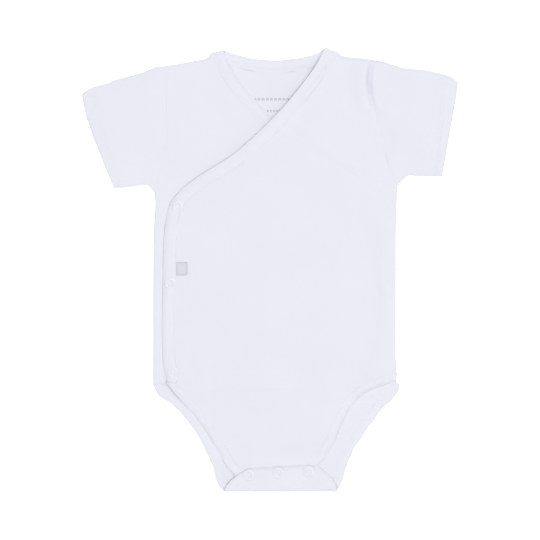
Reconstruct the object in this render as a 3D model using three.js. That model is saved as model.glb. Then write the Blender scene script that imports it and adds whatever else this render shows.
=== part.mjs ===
import * as THREE from 'three';

// A short-sleeved baby bodysuit with wrap-over fronts, in cotton jersey, laid flat on its back with
// its snaps closed. Sizes are millimetres. X runs across the garment, Y up towards the neck, and Z
// up from the surface it lies on. The origin is on that surface, under the middle of the garment.

// Driving sizes
const cloth = 1.0; // wall of the jersey
const seam = 0.3; // space between two pieces that are sewn together or lie on each other
const armholeSeam = 0.4; // the same along the armholes
const bandSeam = 0.45; // the same beside the bands, where the edge curves
const bandWall = 1.5; // edge bands are jersey folded double
const bandRim = 1.0; // a band is thinner along its two edges
const neckBandWidth = 11;
const legBandWidth = 8;
const backNeckDepth = 11; // depth of the band inside the back neck
const sewnInset = 2; // how far the back stays inside the outline where a front turns down over it
const shoulderInset = 4; // the same along the shoulders
const rimDrop = 1.0; // how far a sewn edge of a front bends down
const rimWidth = 2.6;
const foldRadius = 2.3; // outer radius where the crotch extension turns up
const foldLine = -183.8; // height in the garment where that turn begins
const flapBandRise = 0.3; // a band stands this far out of the flap
const sleeveEdge = 1.4; // outer radius along the folded edge of a flattened sleeve
const sleeveHem = 14; // depth of the turned sleeve hem
const hemWall = 1.5;
const snapRadius = 4.75;
const snapHole = 2.5;
const snapHeight = 1.1;
const labelSize = [8.8, 10.5];
const labelWall = 0.6;

// Colours, with the roughness of each material
const white = { color: 0xeceef6, roughness: 0.92 };
const bandWhite = { color: 0xeeeff6, roughness: 0.9 };
const snapWhite = { color: 0xf2f3f8, roughness: 0.35 };
const labelGrey = { color: 0xc4c6d6, roughness: 0.8 };

// Edges of the cut pieces: the points that each passes, from the neck downwards. Below the fold
// line the second number goes on along the cloth, as if the flap weren't turned up.
const outline = {
  shoulderLeft: [
    [-86.1, 171.2], [-75.2, 172.8], [-63.4, 175.2], [-52.4, 178], [-48.8, 182.4], [-38.5, 184.6],
  ],
  backNeck: [
    [-38.5, 184.6], [-26.5, 180.4], [-12.2, 177.4], [4.6, 176.2], [18.9, 177.4], [32.3, 179.8],
    [40.5, 182.7], [46.5, 186.8],
  ],
  shoulderRight: [[46.5, 186.8], [56.6, 182.6], [60.4, 179.6], [69.3, 178], [85.3, 176.4]],
  armholeLeft: [[-86.1, 171.2], [-86.5, 150], [-86.6, 128], [-87.4, 106], [-91.6, 84], [-96.2, 63.4]],
  armholeRight: [[85.3, 176.4], [82.8, 163], [84.2, 145], [89, 128], [94.8, 108], [100, 86], [106.8, 69.6]],
  sideLeft: [[-96.2, 63.4], [-95.8, 55], [-96.9, 36], [-97.6, -10], [-97.7, -76], [-98, -97]],
  sideRight: [[106.8, 69.6], [105.9, 55], [105.2, 36], [105, -20], [105.1, -76], [106.6, -90], [109, -97]],
  legLeft: [
    [-98, -97], [-94, -105], [-82.4, -113], [-69.7, -126.4], [-60.3, -139.9], [-53.4, -153.3],
    [-48, -166.4], [-45.4, -176], [-41.5, -183.2], [-38, -187.4], [-37.4, -191.5], [-34.3, -197],
    [-28.1, -202.2], [-18, -208.1],
  ],
  legRight: [
    [109, -97], [107, -104], [94.9, -116.3], [84.4, -129.8], [75.2, -143.2], [67.6, -156.7],
    [63, -170.1], [60.8, -177], [57.7, -183.4], [55.6, -187.4], [56, -191.5], [54.2, -197],
    [50.4, -202], [39, -212.3],
  ],
};

// Edges of the two fronts. The diagonal starts at the neck and turns down beside the side seam.
const frontEdges = {
  wrap: [
    [46.5, 186.8], [36.8, 169], [17.2, 143.8], [3.2, 128.4], [-30.4, 97.6], [-61.2, 78], [-75.4, 66.8],
    [-83.6, 56.5], [-88, 40], [-90.2, -10], [-90, -76], [-86.4, -95.6],
  ],
  under: [
    [-38.5, 184.6], [-30.1, 166.7], [-13.3, 144.5], [2.9, 127.7], [36, 98.6], [66, 78], [80, 66.8],
    [87.5, 54], [90, 36], [90.6, -20], [90, -97],
  ],
  legLeft: [
    [-86.4, -95.9], [-75.2, -109.6], [-64, -122.2], [-52.8, -137.3], [-44.4, -151.6], [-36, -165.6],
    [-29.5, -173], [-27, -181],
  ],
  legRight: [
    [106.4, -94], [90, -99.4], [76, -106.8], [67.6, -116.6], [59.2, -132], [53.6, -146], [46.6, -157.2],
    [38.6, -165], [37, -181],
  ],
};
const underHem = -97; // the front beneath ends straight across here
const frontBandEnd = -85.1; // the side seam of the front stops here, above its leg band
const frontHem = -181; // lower end of the front, under the flap
const flapReach = -160; // below this the flap presses the front flat

// The large soft folds that show, each a ridge from one point to another; a trough has a height
// below nought. The cloth lies a little free of the layer beneath it, so that a trough can sink.
const ease = 0.7;
const folds = [
  { piece: 'over', name: 'side trough', from: [76, 47], to: [86, -20], width: 7, height: -0.7 },
  { piece: 'over', name: 'side trough, low', from: [86, -20], to: [77, -88], width: 8, height: -0.7 },
  { piece: 'over', name: 'side ridge', from: [96, 40], to: [97, -80], width: 5, height: 0.7 },
  { piece: 'over', name: 'belly swell', from: [60, 30], to: [62, -60], width: 13, height: 0.6 },
  { piece: 'over', name: 'armhole ridge', from: [76, 166], to: [80, 138], width: 8, height: 1.3 },
  { piece: 'over', name: 'underarm trough', from: [98, 92], to: [95, 55], width: 6, height: -0.6 },
  { piece: 'over', name: 'chest swell', from: [30, 112], to: [-20, 60], width: 20, height: 0.5 },
  { piece: 'over', name: 'hem crease', from: [-58, -70], to: [-57, -106], width: 5, height: 0.5 },
  { piece: 'over', name: 'crotch swell', from: [2, -120], to: [4, -150], width: 18, height: 0.6 },
  { piece: 'over', name: 'leg pucker', from: [84, -88], to: [94, -93], width: 4, height: 0.6 },
  { piece: 'under', name: 'underarm ridge', from: [-94, 92], to: [-78, 112], width: 7, height: 0.8 },
  { piece: 'under', name: 'shoulder swell', from: [-62, 150], to: [-54, 118], width: 12, height: 0.6 },
  { piece: 'left', name: 'underarm trough', from: [-110, 84], to: [-99, 100], width: 7, height: -0.5 },
  { piece: 'left', name: 'sleeve swell', from: [-110, 140], to: [-134, 112], width: 16, height: 1.0 },
  { piece: 'right', name: 'sleeve swell', from: [112, 140], to: [126, 110], width: 16, height: 1.1 },
  { piece: 'right', name: 'underarm trough', from: [118, 88], to: [142, 90], width: 6, height: -0.5 },
];

// Ring snaps: the middle of each ring
const sideSnaps = [[-77.2, 53], [-83.4, -11.3], [-81.2, -85.5]];
const crotchSnaps = [[-17.6, -171.8], [6.9, -169.9], [32.3, -168.8]];
const labelMiddle = [-73.8, 1.0];

// One while d is at most near, nought from far on, and smooth between
function fade(d, near, far) {
  const t = THREE.MathUtils.clamp((far - d) / (far - near), 0, 1);
  return t * t * (3 - 2 * t);
}

// A smooth edge through its landmarks, read by how high up the garment a point is
class Edge {
  constructor(points) {
    const knots = points.map(([x, y]) => new THREE.Vector3(x, y, 0));
    this.curve = new THREE.CatmullRomCurve3(knots, false, 'centripetal');
    this.top = points[0][1];
    this.bottom = points[points.length - 1][1];
  }

  // The curve's own parameter where it passes height y
  locate(y) {
    let [low, high] = [0, 1];
    for (let step = 0; step < 30; step += 1) {
      const middle = (low + high) / 2;
      if (this.curve.getPoint(middle).y > y) low = middle;
      else high = middle;
    }
    return (low + high) / 2;
  }

  at(y) {
    return this.curve.getPoint(this.locate(y));
  }

  // The point a given share of the way down from one height to another
  between(from, to, share) {
    return this.at(THREE.MathUtils.lerp(from, to, share));
  }
}

// The unit direction across an edge into its piece, which lies to the east or the west of it. An
// edge may start with a direction of its own, to meet the seam it starts from.
function across(edge, t, side, start) {
  const a = edge.curve.getPoint(Math.max(t - turnReach, 0));
  const b = edge.curve.getPoint(Math.min(t + turnReach, 1));
  const normal = new THREE.Vector3(a.y - b.y, b.x - a.x, 0).multiplyScalar(side).normalize();
  if (!start) return normal;
  const blend = fade(t, 0, startReach);
  return normal.lerp(new THREE.Vector3(start[0], start[1], 0).normalize(), blend).normalize();
}

// The edge that runs beside another, a width away inside its piece
function beside(edge, width, side, start) {
  const samples = 40;
  const points = [];
  for (let i = 0; i <= samples; i += 1) {
    const t = i / samples;
    const p = edge.curve.getPoint(t).addScaledVector(across(edge, t, side, start), width);
    points.push([p.x, p.y]);
  }
  return new Edge(points);
}

const east = 1;
const west = -1;
const cut = {};
for (const [name, points] of Object.entries(outline)) cut[name] = new Edge(points);
const front = {};
for (const [name, points] of Object.entries(frontEdges)) front[name] = new Edge(points);

// Where bands start: along the seam that crosses their end
const bandStart = {
  wrap: [0.92, -0.38],
  under: [-0.98, -0.21],
  legFrontLeft: [1, 0],
  legFrontRight: [0, 1],
  legBackLeft: [1, 0],
  legBackRight: [-1, 0],
};

// The stretch of an edge, as a share of it, over which its direction is read to either side, and
// over which its start direction gives way
const turnReach = 0.01;
const startReach = 0.09;

// Height of an edge that runs across the garment, at a place x along it
function heightOf(points, x) {
  for (let i = 1; i < points.length; i += 1) {
    if (x <= points[i][0] || i === points.length - 1) {
      const [a, b] = [points[i - 1], points[i]];
      return a[1] + ((b[1] - a[1]) * (x - a[0])) / (b[0] - a[0]);
    }
  }
  return points[0][1];
}

// A crossing edge made smooth, as short straight steps
function smoothed(points, steps) {
  const knots = points.map(([x, y]) => new THREE.Vector3(x, y, 0));
  const curve = new THREE.CatmullRomCurve3(knots, false, 'centripetal');
  return curve.getPoints(steps).map((p) => [p.x, p.y]);
}

const backNeckLine = smoothed(outline.backNeck, 24);
const shoulderLineLeft = smoothed(outline.shoulderLeft, 12);
const shoulderLineRight = smoothed(outline.shoulderRight, 12);
const neckLeft = outline.backNeck[0][0];
const neckRight = outline.backNeck[outline.backNeck.length - 1][0];
const neckMiddle = (neckLeft + neckRight) / 2;
const neckHalf = (neckRight - neckLeft) / 2;

// Top of the back, which is raised where the band lies on it inside the neck
function backTop(x, y) {
  const sideways = fade(Math.abs(x - neckMiddle), neckHalf - 3, neckHalf + 6);
  const down = fade(heightOf(backNeckLine, x) - backNeckDepth - y, 2, 14);
  return cloth + (cloth + seam) * sideways * down;
}

// How far the folds of a piece lift it at a point
function lift(piece, x, y) {
  const p = new THREE.Vector3(x, y, 0);
  const nearest = new THREE.Vector3();
  let sum = 0;
  for (const fold of folds) {
    if (fold.piece !== piece) continue;
    const line = new THREE.Line3(new THREE.Vector3(...fold.from, 0), new THREE.Vector3(...fold.to, 0));
    line.closestPointToPoint(p, true, nearest);
    sum += fold.height * Math.exp(-((p.distanceTo(nearest) / fold.width) ** 2));
  }
  return sum;
}

// Underside of the front beneath
function underFloor(x, y) {
  const shows = fade(y - front.wrap.at(THREE.MathUtils.clamp(y, -95, 185)).y, 0, 1);
  const free = fade(x - front.wrap.at(THREE.MathUtils.clamp(y, -95, 185)).x, -16, -4);
  return backTop(x, y) + seam + shows * free * Math.max(0.3 + lift('under', x, y), 0);
}

// Underside of the front on top: it lies on the front beneath, and comes down past its edges
function overFloor(x, y) {
  const edgeX = front.under.at(THREE.MathUtils.clamp(y, underHem, 184)).x;
  const covered = fade(x - edgeX, 2, 15) * fade(underHem - y, 1, 24);
  const loose = 1 - fade(y, flapReach, flapReach + 16);
  const legRoom = 0.5 * fade(y, -100, -88);
  const onBack = backTop(x, y) + seam + legRoom * loose;
  const onUnder = backTop(x, y) + seam + bandWall + seam;
  const shape = Math.max(ease + lift('over', x, y), 0);
  return THREE.MathUtils.lerp(onBack, onUnder, covered) + shape * loose;
}

// The back's cloth, from its place on the flat cut piece to its place on the garment
function onBack(x, along, height) {
  const past = foldLine - along;
  if (past <= 0) return new THREE.Vector3(x, along, height);
  const turn = Math.min(past / foldRadius, Math.PI);
  const home = Math.max(past - Math.PI * foldRadius, 0);
  const reach = foldRadius - height;
  const y = foldLine - reach * Math.sin(turn) + home;
  return new THREE.Vector3(x, y, foldRadius - reach * Math.cos(turn));
}

// Makes the named mesh from points and triangles, turned so that its faces point out
function solid(name, points, triangles, look) {
  let volume = 0;
  for (const [a, b, c] of triangles) {
    volume += points[a].dot(new THREE.Vector3().crossVectors(points[b], points[c]));
  }
  const index = triangles.flatMap(([a, b, c]) => (volume > 0 ? [a, b, c] : [a, c, b]));
  const geometry = new THREE.BufferGeometry();
  const positions = points.flatMap((p) => [p.x, p.y, p.z]);
  geometry.setAttribute('position', new THREE.Float32BufferAttribute(positions, 3));
  geometry.setIndex(index);
  geometry.computeVertexNormals();
  const mesh = new THREE.Mesh(geometry, new THREE.MeshStandardMaterial({ ...look, metalness: 0 }));
  mesh.name = name;
  return mesh;
}

// A wall of cloth between two grids of points, rows of the same length. Around closes each row on
// itself, as in a tube.
function wall(name, outer, inner, look, around = false) {
  const rows = outer.length;
  const columns = outer[0].length;
  const points = [...outer.flat(), ...inner.flat()];
  const other = rows * columns;
  const triangles = [];
  const quad = (a, b, c, d) => triangles.push([a, b, c], [a, c, d]);
  const steps = around ? columns : columns - 1;
  for (let i = 0; i < rows - 1; i += 1) {
    for (let j = 0; j < steps; j += 1) {
      const k = (j + 1) % columns;
      const [a, b, c, d] = [i * columns + j, i * columns + k, (i + 1) * columns + k, (i + 1) * columns + j];
      quad(a, b, c, d);
      quad(other + d, other + c, other + b, other + a);
    }
  }
  const last = (rows - 1) * columns;
  for (let j = 0; j < steps; j += 1) {
    const k = (j + 1) % columns;
    quad(k, j, other + j, other + k);
    quad(last + j, last + k, other + last + k, other + last + j);
  }
  if (!around) {
    for (let i = 0; i < rows - 1; i += 1) {
      const [a, b] = [i * columns, (i + 1) * columns];
      quad(a, b, other + b, other + a);
      quad(b + columns - 1, a + columns - 1, other + a + columns - 1, other + b + columns - 1);
    }
  }
  return solid(name, points, triangles, look);
}

// The upward direction of a grid of points that lies roughly flat
function upward(grid, i, j) {
  const [rows, columns] = [grid.length, grid[0].length];
  const down = grid[Math.min(i + 1, rows - 1)][j].clone().sub(grid[Math.max(i - 1, 0)][j]);
  const over = grid[i][Math.min(j + 1, columns - 1)].clone().sub(grid[i][Math.max(j - 1, 0)]);
  const normal = down.cross(over).normalize();
  return normal.z < 0 ? normal.negate() : normal;
}

// A wall whose underside is a grid, and whose thickness may change from point to point
function layOn(name, grid, thickness, look) {
  const top = grid.map((row, i) => row.map((p, j) => (
    p.clone().addScaledVector(upward(grid, i, j), thickness(i, j)))));
  return wall(name, grid, top, look);
}

// Places across a row, close together beside a sewn edge, where the cloth bends down
function columnPlaces(width, count, sewnLeft, sewnRight) {
  const start = sewnLeft ? [0, 1 / width, rimWidth / width] : [0];
  const end = sewnRight ? [1 - rimWidth / width, 1 - 1 / width, 1] : [1];
  const inner = [];
  const [a, b] = [start[start.length - 1], end[0]];
  for (let k = 1; k < count; k += 1) inner.push(a + ((b - a) * k) / count);
  return [...start, ...inner, ...end];
}

// How far a point sinks near a sewn edge
function drop(distance) {
  return rimDrop * Math.max(1 - distance / rimWidth, 0) ** 2;
}

// Rows of a panel, from pairs of edges down its two sides. Each stretch names its two edges, the
// heights between which each is followed, and the number of rows. A row that a stretch shares with
// the one before it is left out.
function pairs(stretches) {
  const found = [];
  for (const { left, right, rows } of stretches) {
    for (let i = 0; i <= rows; i += 1) {
      const row = [left, right].map(([edge, from, to]) => edge.between(from, to, i / rows));
      const before = found[found.length - 1];
      const moved = before ? Math.max(before[0].distanceTo(row[0]), before[1].distanceTo(row[1])) : 1;
      if (moved > 0.3) found.push(row);
    }
  }
  return found;
}

// Bends the top rows of a panel to follow the line that crosses it, between its two side edges
function followTop(rows, places, line, depth) {
  const [first, last] = rows[0];
  const above = (p) => heightOf(line, p.x) - p.y;
  return rows.map(([a, b]) => {
    const fading = Math.max(1 - (first.y - a.y) / depth, 0) ** 2;
    return places(a.distanceTo(b)).map((u) => {
      const p = a.clone().lerp(b, u);
      const bow = above(first.clone().lerp(last, u)) - THREE.MathUtils.lerp(above(first), above(last), u);
      p.y += bow * fading;
      return p;
    });
  });
}

// The side of the flap beyond the end of a leg band, from the band's inner corner to its tip
function bandTip(edge, side) {
  const tip = edge.curve.getPoint(1);
  const inward = across(edge, 1, side);
  const onward = new THREE.Vector3(inward.y, -inward.x, 0).multiplyScalar(side * bandSeam);
  const end = tip.clone().add(onward);
  const corner = end.clone().addScaledVector(inward, legBandWidth + bandSeam);
  return new Edge([[corner.x, corner.y], [end.x, end.y]]);
}

// The back: from the shoulders to the crotch, round the fold, and up over the front as the flap
function backPanel() {
  const armLeft = beside(cut.armholeLeft, seam, east);
  const armRight = beside(cut.armholeRight, seam, west);
  const sideLeft = beside(cut.sideLeft, sewnInset, east);
  const sideRight = beside(cut.sideRight, sewnInset, west);
  const legLeft = beside(cut.legLeft, legBandWidth + bandSeam, east, bandStart.legBackLeft);
  const legRight = beside(cut.legRight, legBandWidth + bandSeam, west, bandStart.legBackRight);
  const tipLeft = bandTip(cut.legLeft, east);
  const tipRight = bandTip(cut.legRight, west);
  const [topLeft, topRight] = [armLeft.top - shoulderInset, armRight.top - shoulderInset];
  const stretches = [
    { left: [armLeft, topLeft, 66], right: [armRight, topRight, 70.5], rows: 9 },
    { left: [sideLeft, 62, 34], right: [sideRight, 68, 34], rows: 4 },
    { left: [sideLeft, 34, -84], right: [sideRight, 34, -84], rows: 3 },
    { left: [sideLeft, -84, -96.6], right: [sideRight, -84, -96.6], rows: 2 },
    { left: [legLeft, -97, -108], right: [legRight, -97, -108], rows: 5 },
    { left: [legLeft, -108, foldLine], right: [legRight, -108, foldLine], rows: 8 },
    { left: [legLeft, foldLine, -191], right: [legRight, foldLine, -191], rows: 5 },
    { left: [legLeft, -191, legLeft.bottom], right: [legRight, -191, legRight.bottom], rows: 3 },
    {
      left: [tipLeft, tipLeft.top, tipLeft.bottom],
      right: [tipRight, tipRight.top, tipRight.bottom],
      rows: 3,
    },
  ];
  const lowered = (points, inset) => points.map(([x, y]) => [x, y - inset]);
  const line = [
    ...lowered(shoulderLineLeft, shoulderInset),
    ...lowered(backNeckLine, sewnInset),
    ...lowered(shoulderLineRight, shoulderInset),
  ];
  const grid = followTop(pairs(stretches), (width) => columnPlaces(width, 14), line, 50);
  const outer = grid.map((row) => row.map((p) => onBack(p.x, p.y, 0)));
  const inner = grid.map((row) => row.map((p) => onBack(p.x, p.y, cloth)));
  return wall('back_panel', outer, inner, white);
}

// The front beneath: its visible corner at the left shoulder, and the plain part that is covered
function frontUnder() {
  const band = neckBandWidth + bandSeam;
  const armhole = cut.armholeLeft;
  const neck = beside(front.under, band, west, bandStart.under);
  const [armRim, neckRim] = [armhole.top - rimWidth, neck.top - rimWidth];
  const stretches = [
    { left: [armhole, armhole.top, armRim], right: [neck, neck.top, neckRim], rows: 1 },
    { left: [armhole, armRim, 148], right: [neck, neckRim, 150], rows: 5 },
    { left: [armhole, 148, 66], right: [neck, 150, 72], rows: 8 },
    { left: [cut.sideLeft, 62.6, 36], right: [neck, 70, 36], rows: 5 },
    { left: [cut.sideLeft, 36, underHem + 0.6], right: [neck, 36, underHem], rows: 4 },
  ];
  const rows = pairs(stretches);
  const places = (width) => columnPlaces(width, 11, true, false);
  const plan = followTop(rows, places, shoulderLineLeft, 40);
  const grid = plan.map((row, i) => row.map((p) => {
    const sewn = row[0].y < cut.sideLeft.top ? drop(row[0].distanceTo(p)) : 0;
    const sink = Math.max(sewn, i === 0 ? rimDrop : 0);
    return new THREE.Vector3(p.x, p.y, underFloor(p.x, p.y) - sink);
  }));
  return layOn('front_under', grid, () => cloth, white);
}

// The front on top: from the right shoulder, down between the wrap edge and the side, to the crotch
function frontOver() {
  const wrap = beside(front.wrap, neckBandWidth + bandSeam, east, bandStart.wrap);
  const legLeft = beside(front.legLeft, legBandWidth + bandSeam, east, bandStart.legFrontLeft);
  const legRight = beside(front.legRight, legBandWidth + bandSeam, west, bandStart.legFrontRight);
  const armhole = cut.armholeRight;
  const side = cut.sideRight;
  const [wrapRim, armRim] = [wrap.top - rimWidth, armhole.top - rimWidth];
  const stretches = [
    { left: [wrap, wrap.top, wrapRim], right: [armhole, armhole.top, armRim], rows: 1 },
    { left: [wrap, wrapRim, 66], right: [armhole, armRim, 72], rows: 13 },
    { left: [wrap, 64.8, 38], right: [side, 68.6, 38], rows: 7 },
    { left: [wrap, 38, -80], right: [side, 38, -76], rows: 8 },
    { left: [wrap, -80, -95.6], right: [side, -76, frontBandEnd], rows: 2 },
    { left: [legLeft, -96.2, -104], right: [legRight, legRight.top, -93], rows: 4 },
    { left: [legLeft, -104, -116], right: [legRight, -93, -104], rows: 3 },
    { left: [legLeft, -116, -150], right: [legRight, -104, -150], rows: 5 },
    { left: [legLeft, -150, -172], right: [legRight, -150, -172], rows: 5 },
    { left: [legLeft, -172, frontHem], right: [legRight, -172, frontHem], rows: 1 },
  ];
  const places = (width) => columnPlaces(width, 17, false, true);
  const plan = followTop(pairs(stretches), places, shoulderLineRight, 30);
  const grid = plan.map((row, i) => row.map((p) => {
    const end = row[row.length - 1];
    const sewn = end.y < side.top && end.y >= frontBandEnd - seam ? drop(end.distanceTo(p)) : 0;
    const sink = Math.max(sewn, i === 0 ? rimDrop : 0);
    return new THREE.Vector3(p.x, p.y, overFloor(p.x, p.y) - sink);
  }));
  return layOn('front_over', grid, () => cloth, white);
}

// A band beside an edge: a strip that is thick in the middle and thin along its edges. Its rows lie
// closer where the edge has more landmarks.
function bandRows(edge, width, side, start, from, to, rows) {
  const places = [0, 1.3 / width, 1 - 1.3 / width, 1];
  const [first, last] = [edge.locate(from), edge.locate(to)];
  const plan = [];
  for (let i = 0; i <= rows; i += 1) {
    const t = THREE.MathUtils.lerp(first, last, i / rows);
    const p = edge.curve.getPoint(t);
    const inwards = across(edge, t, side, start);
    plan.push(places.map((u) => p.clone().addScaledVector(inwards, u * width)));
  }
  return plan;
}

const bandThickness = (i, j) => (j === 0 || j === 3 ? bandRim : bandWall);

// A band of a front, lying at the height of that front
function frontBand(name, plan, floor) {
  const grid = plan.map((row) => row.map((p) => new THREE.Vector3(p.x, p.y, floor(p.x, p.y))));
  return layOn(name, grid, bandThickness, bandWhite);
}

// A band of the back, which goes round the fold with it and stands out of the flap
function backBand(name, plan) {
  const shift = (along) => -flapBandRise * (1 - fade(foldLine - along, 0, Math.PI * foldRadius));
  const outer = plan.map((row) => row.map((p) => onBack(p.x, p.y, shift(p.y))));
  const inner = plan.map((row) => row.map((p, j) => onBack(p.x, p.y, shift(p.y) + bandThickness(0, j))));
  return wall(name, outer, inner, bandWhite);
}

// The band inside the back neck, lying on the back
function backNeckBand() {
  const rows = [0, 1.3, backNeckDepth - 1.3, backNeckDepth];
  const ends = 6;
  const columns = 12;
  const grid = rows.map((down) => {
    const row = [];
    for (let j = 0; j <= columns; j += 1) {
      const x = THREE.MathUtils.lerp(neckLeft + ends, neckRight - ends, j / columns);
      row.push(new THREE.Vector3(x, heightOf(backNeckLine, x) - down, cloth + seam));
    }
    return row;
  });
  return layOn('neck_band_back', grid, () => cloth, bandWhite);
}

// A sleeve: a tube laid flat, open at the hem and at the armhole. Its plan is worked out from the
// armhole, the hem, the folded edge on top and the underarm edge.
function sleeve({ name, piece, armhole, hem, topEdge, underEdge, side }) {
  const top = smoothed(topEdge, 20);
  const under = smoothed(underEdge, 20);
  const along = (line, v) => {
    const x = THREE.MathUtils.lerp(line[0][0], line[line.length - 1][0], v);
    const way = line[0][0] < line[line.length - 1][0] ? line : [...line].reverse();
    return new THREE.Vector3(x, heightOf(way, x), 0);
  };
  const hemEdge = new Edge(hem);
  const plan = (a, v) => {
    const inner = armhole.between(armhole.top, armhole.bottom, a);
    inner.x += side * armholeSeam;
    const outer = hemEdge.between(hemEdge.top, hemEdge.bottom, a);
    const blend = inner.lerp(outer, v);
    const upper = along(top, v).lerp(along(under, v), a);
    const corner = along(top, 0).lerp(along(under, 0), a).lerp(along(top, 1).lerp(along(under, 1), a), v);
    return blend.add(upper).sub(corner);
  };
  const runs = 10;
  const turns = 3;
  const loop = (v, thick) => {
    const length = plan(0, v).distanceTo(plan(1, v));
    const radius = sleeveEdge - thick;
    const points = [];
    const put = (a, z) => {
      const p = plan(a, v);
      points.push(new THREE.Vector3(p.x, p.y, z));
    };
    const puff = (a) => {
      const p = plan(a, v);
      const middle = Math.sin(Math.PI * THREE.MathUtils.clamp(a, 0, 1)) ** 0.6;
      const roundness = 0.3 + 0.9 * Math.sin(Math.PI * (0.15 + 0.6 * v));
      return middle * Math.max(roundness + lift(piece, p.x, p.y), 0);
    };
    const [first, last] = [sleeveEdge / length, 1 - sleeveEdge / length];
    for (let k = 0; k <= runs; k += 1) put(THREE.MathUtils.lerp(first, last, k / runs), thick);
    for (let k = 1; k < turns; k += 1) {
      const angle = Math.PI * (k / turns - 0.5);
      put(last + (radius * Math.cos(angle)) / length, sleeveEdge + radius * Math.sin(angle));
    }
    for (let k = runs; k >= 0; k -= 1) {
      const a = THREE.MathUtils.lerp(first, last, k / runs);
      put(a, 2 * sleeveEdge - thick + puff(a));
    }
    for (let k = turns - 1; k > 0; k -= 1) {
      const angle = Math.PI * (k / turns - 0.5);
      put(first - (radius * Math.cos(angle)) / length, sleeveEdge + radius * Math.sin(angle));
    }
    return points;
  };
  const span = along(top, 0).distanceTo(along(top, 1));
  const hemStart = 1 - sleeveHem / span;
  const stations = [0, 0.14, 0.3, 0.46, 0.62, hemStart - 0.01, hemStart + 0.01, 1];
  const outer = stations.map((v) => loop(v, 0));
  const inner = stations.map((v) => loop(v, v > hemStart ? Math.min(hemWall, sleeveEdge - 0.2) : cloth));
  return wall(name, outer, inner, white, true);
}

// A ring snap cap: a rounded ring that is open in the middle
function snap(name, [x, y], z) {
  const bevel = 0.35;
  const profile = [
    [snapHole, 0], [snapRadius, 0], [snapRadius, snapHeight - bevel], [snapRadius - bevel, snapHeight],
    [snapHole + bevel, snapHeight], [snapHole, snapHeight - bevel], [snapHole, 0],
  ].map(([r, h]) => new THREE.Vector2(r, h));
  const geometry = new THREE.LatheGeometry(profile, 20);
  geometry.rotateX(Math.PI / 2);
  const mesh = new THREE.Mesh(geometry, new THREE.MeshStandardMaterial({ ...snapWhite, metalness: 0 }));
  mesh.name = name;
  mesh.position.set(x, y, z);
  return mesh;
}

// The highest point of a front's top face under a ring
function topUnder([x, y], floor, thickness) {
  let highest = 0;
  for (let k = 0; k < 12; k += 1) {
    const angle = (k * Math.PI) / 6;
    const rim = floor(x + snapRadius * Math.cos(angle), y + snapRadius * Math.sin(angle));
    highest = Math.max(highest, rim);
  }
  return highest + thickness;
}

// The woven label, lying on the front
function label() {
  const [width, height] = labelSize;
  const steps = 4;
  const grid = [];
  for (let i = 0; i <= steps; i += 1) {
    const row = [];
    for (let j = 0; j <= steps; j += 1) {
      const x = labelMiddle[0] + width * (j / steps - 0.5);
      const y = labelMiddle[1] - height * (i / steps - 0.5);
      row.push(new THREE.Vector3(x, y, overFloor(x, y) + cloth + seam));
    }
    grid.push(row);
  }
  return layOn('label_patch', grid, () => labelWall, labelGrey);
}

const group = new THREE.Group();
group.add(backPanel(), frontUnder(), frontOver());

group.add(sleeve({
  name: 'sleeve_left',
  piece: 'left',
  side: west,
  armhole: cut.armholeLeft,
  hem: [[-157.9, 148], [-153.7, 128.9], [-148.7, 113.8], [-142.8, 98.7], [-136.9, 83.6], [-130.2, 68.3]],
  topEdge: [
    [-86.1, 171.2], [-95, 170.8], [-102, 168], [-109, 165.4], [-118.9, 162.6], [-128.1, 160.4],
    [-137, 156.6], [-145, 154.6], [-153, 151.6], [-157.9, 148],
  ],
  underEdge: [[-96.2, 63.4], [-99.4, 68], [-103.4, 70.8], [-117.2, 69.4], [-130.2, 68.3]],
}));
group.add(sleeve({
  name: 'sleeve_right',
  piece: 'right',
  side: east,
  armhole: cut.armholeRight,
  hem: [[157.7, 158], [155.8, 144], [153, 128.9], [150.3, 113.8], [147.7, 98.7], [144.1, 78.3]],
  topEdge: [
    [85.3, 176.4], [92, 175.8], [99.5, 173.8], [106.3, 171.4], [114.5, 169.4], [129.8, 168],
    [139.9, 165.8], [146.6, 164.4], [153.3, 161.6], [157.7, 158],
  ],
  underEdge: [[106.8, 69.6], [110.9, 74.4], [116.3, 79], [124.7, 78.6], [144.1, 78.3]],
}));

group.add(backNeckBand());
group.add(frontBand(
  'neck_band_under',
  bandRows(front.under, neckBandWidth, west, bandStart.under, front.under.top, underHem, 30),
  underFloor,
));
group.add(frontBand(
  'wrap_band',
  bandRows(front.wrap, neckBandWidth, east, bandStart.wrap, front.wrap.top, front.wrap.bottom, 33),
  overFloor,
));
group.add(frontBand(
  'leg_band_front_left',
  bandRows(front.legLeft, legBandWidth, east, bandStart.legFrontLeft, -95.9, frontHem, 16),
  overFloor,
));
group.add(frontBand(
  'leg_band_front_right',
  bandRows(front.legRight, legBandWidth, west, bandStart.legFrontRight, -94, frontHem, 24),
  overFloor,
));
group.add(backBand(
  'leg_band_back_left',
  bandRows(cut.legLeft, legBandWidth, east, bandStart.legBackLeft, -97.3, cut.legLeft.bottom, 39),
));
group.add(backBand(
  'leg_band_back_right',
  bandRows(cut.legRight, legBandWidth, west, bandStart.legBackRight, -97.3, cut.legRight.bottom, 39),
));

group.add(label());
sideSnaps.forEach((place, k) => {
  group.add(snap(`side_snap_${k + 1}`, place, topUnder(place, overFloor, bandWall) + seam));
});
const flapTop = 2 * foldRadius + flapBandRise;
crotchSnaps.forEach((place, k) => {
  group.add(snap(`crotch_snap_${k + 1}`, place, flapTop + seam));
});

export default group;
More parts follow.
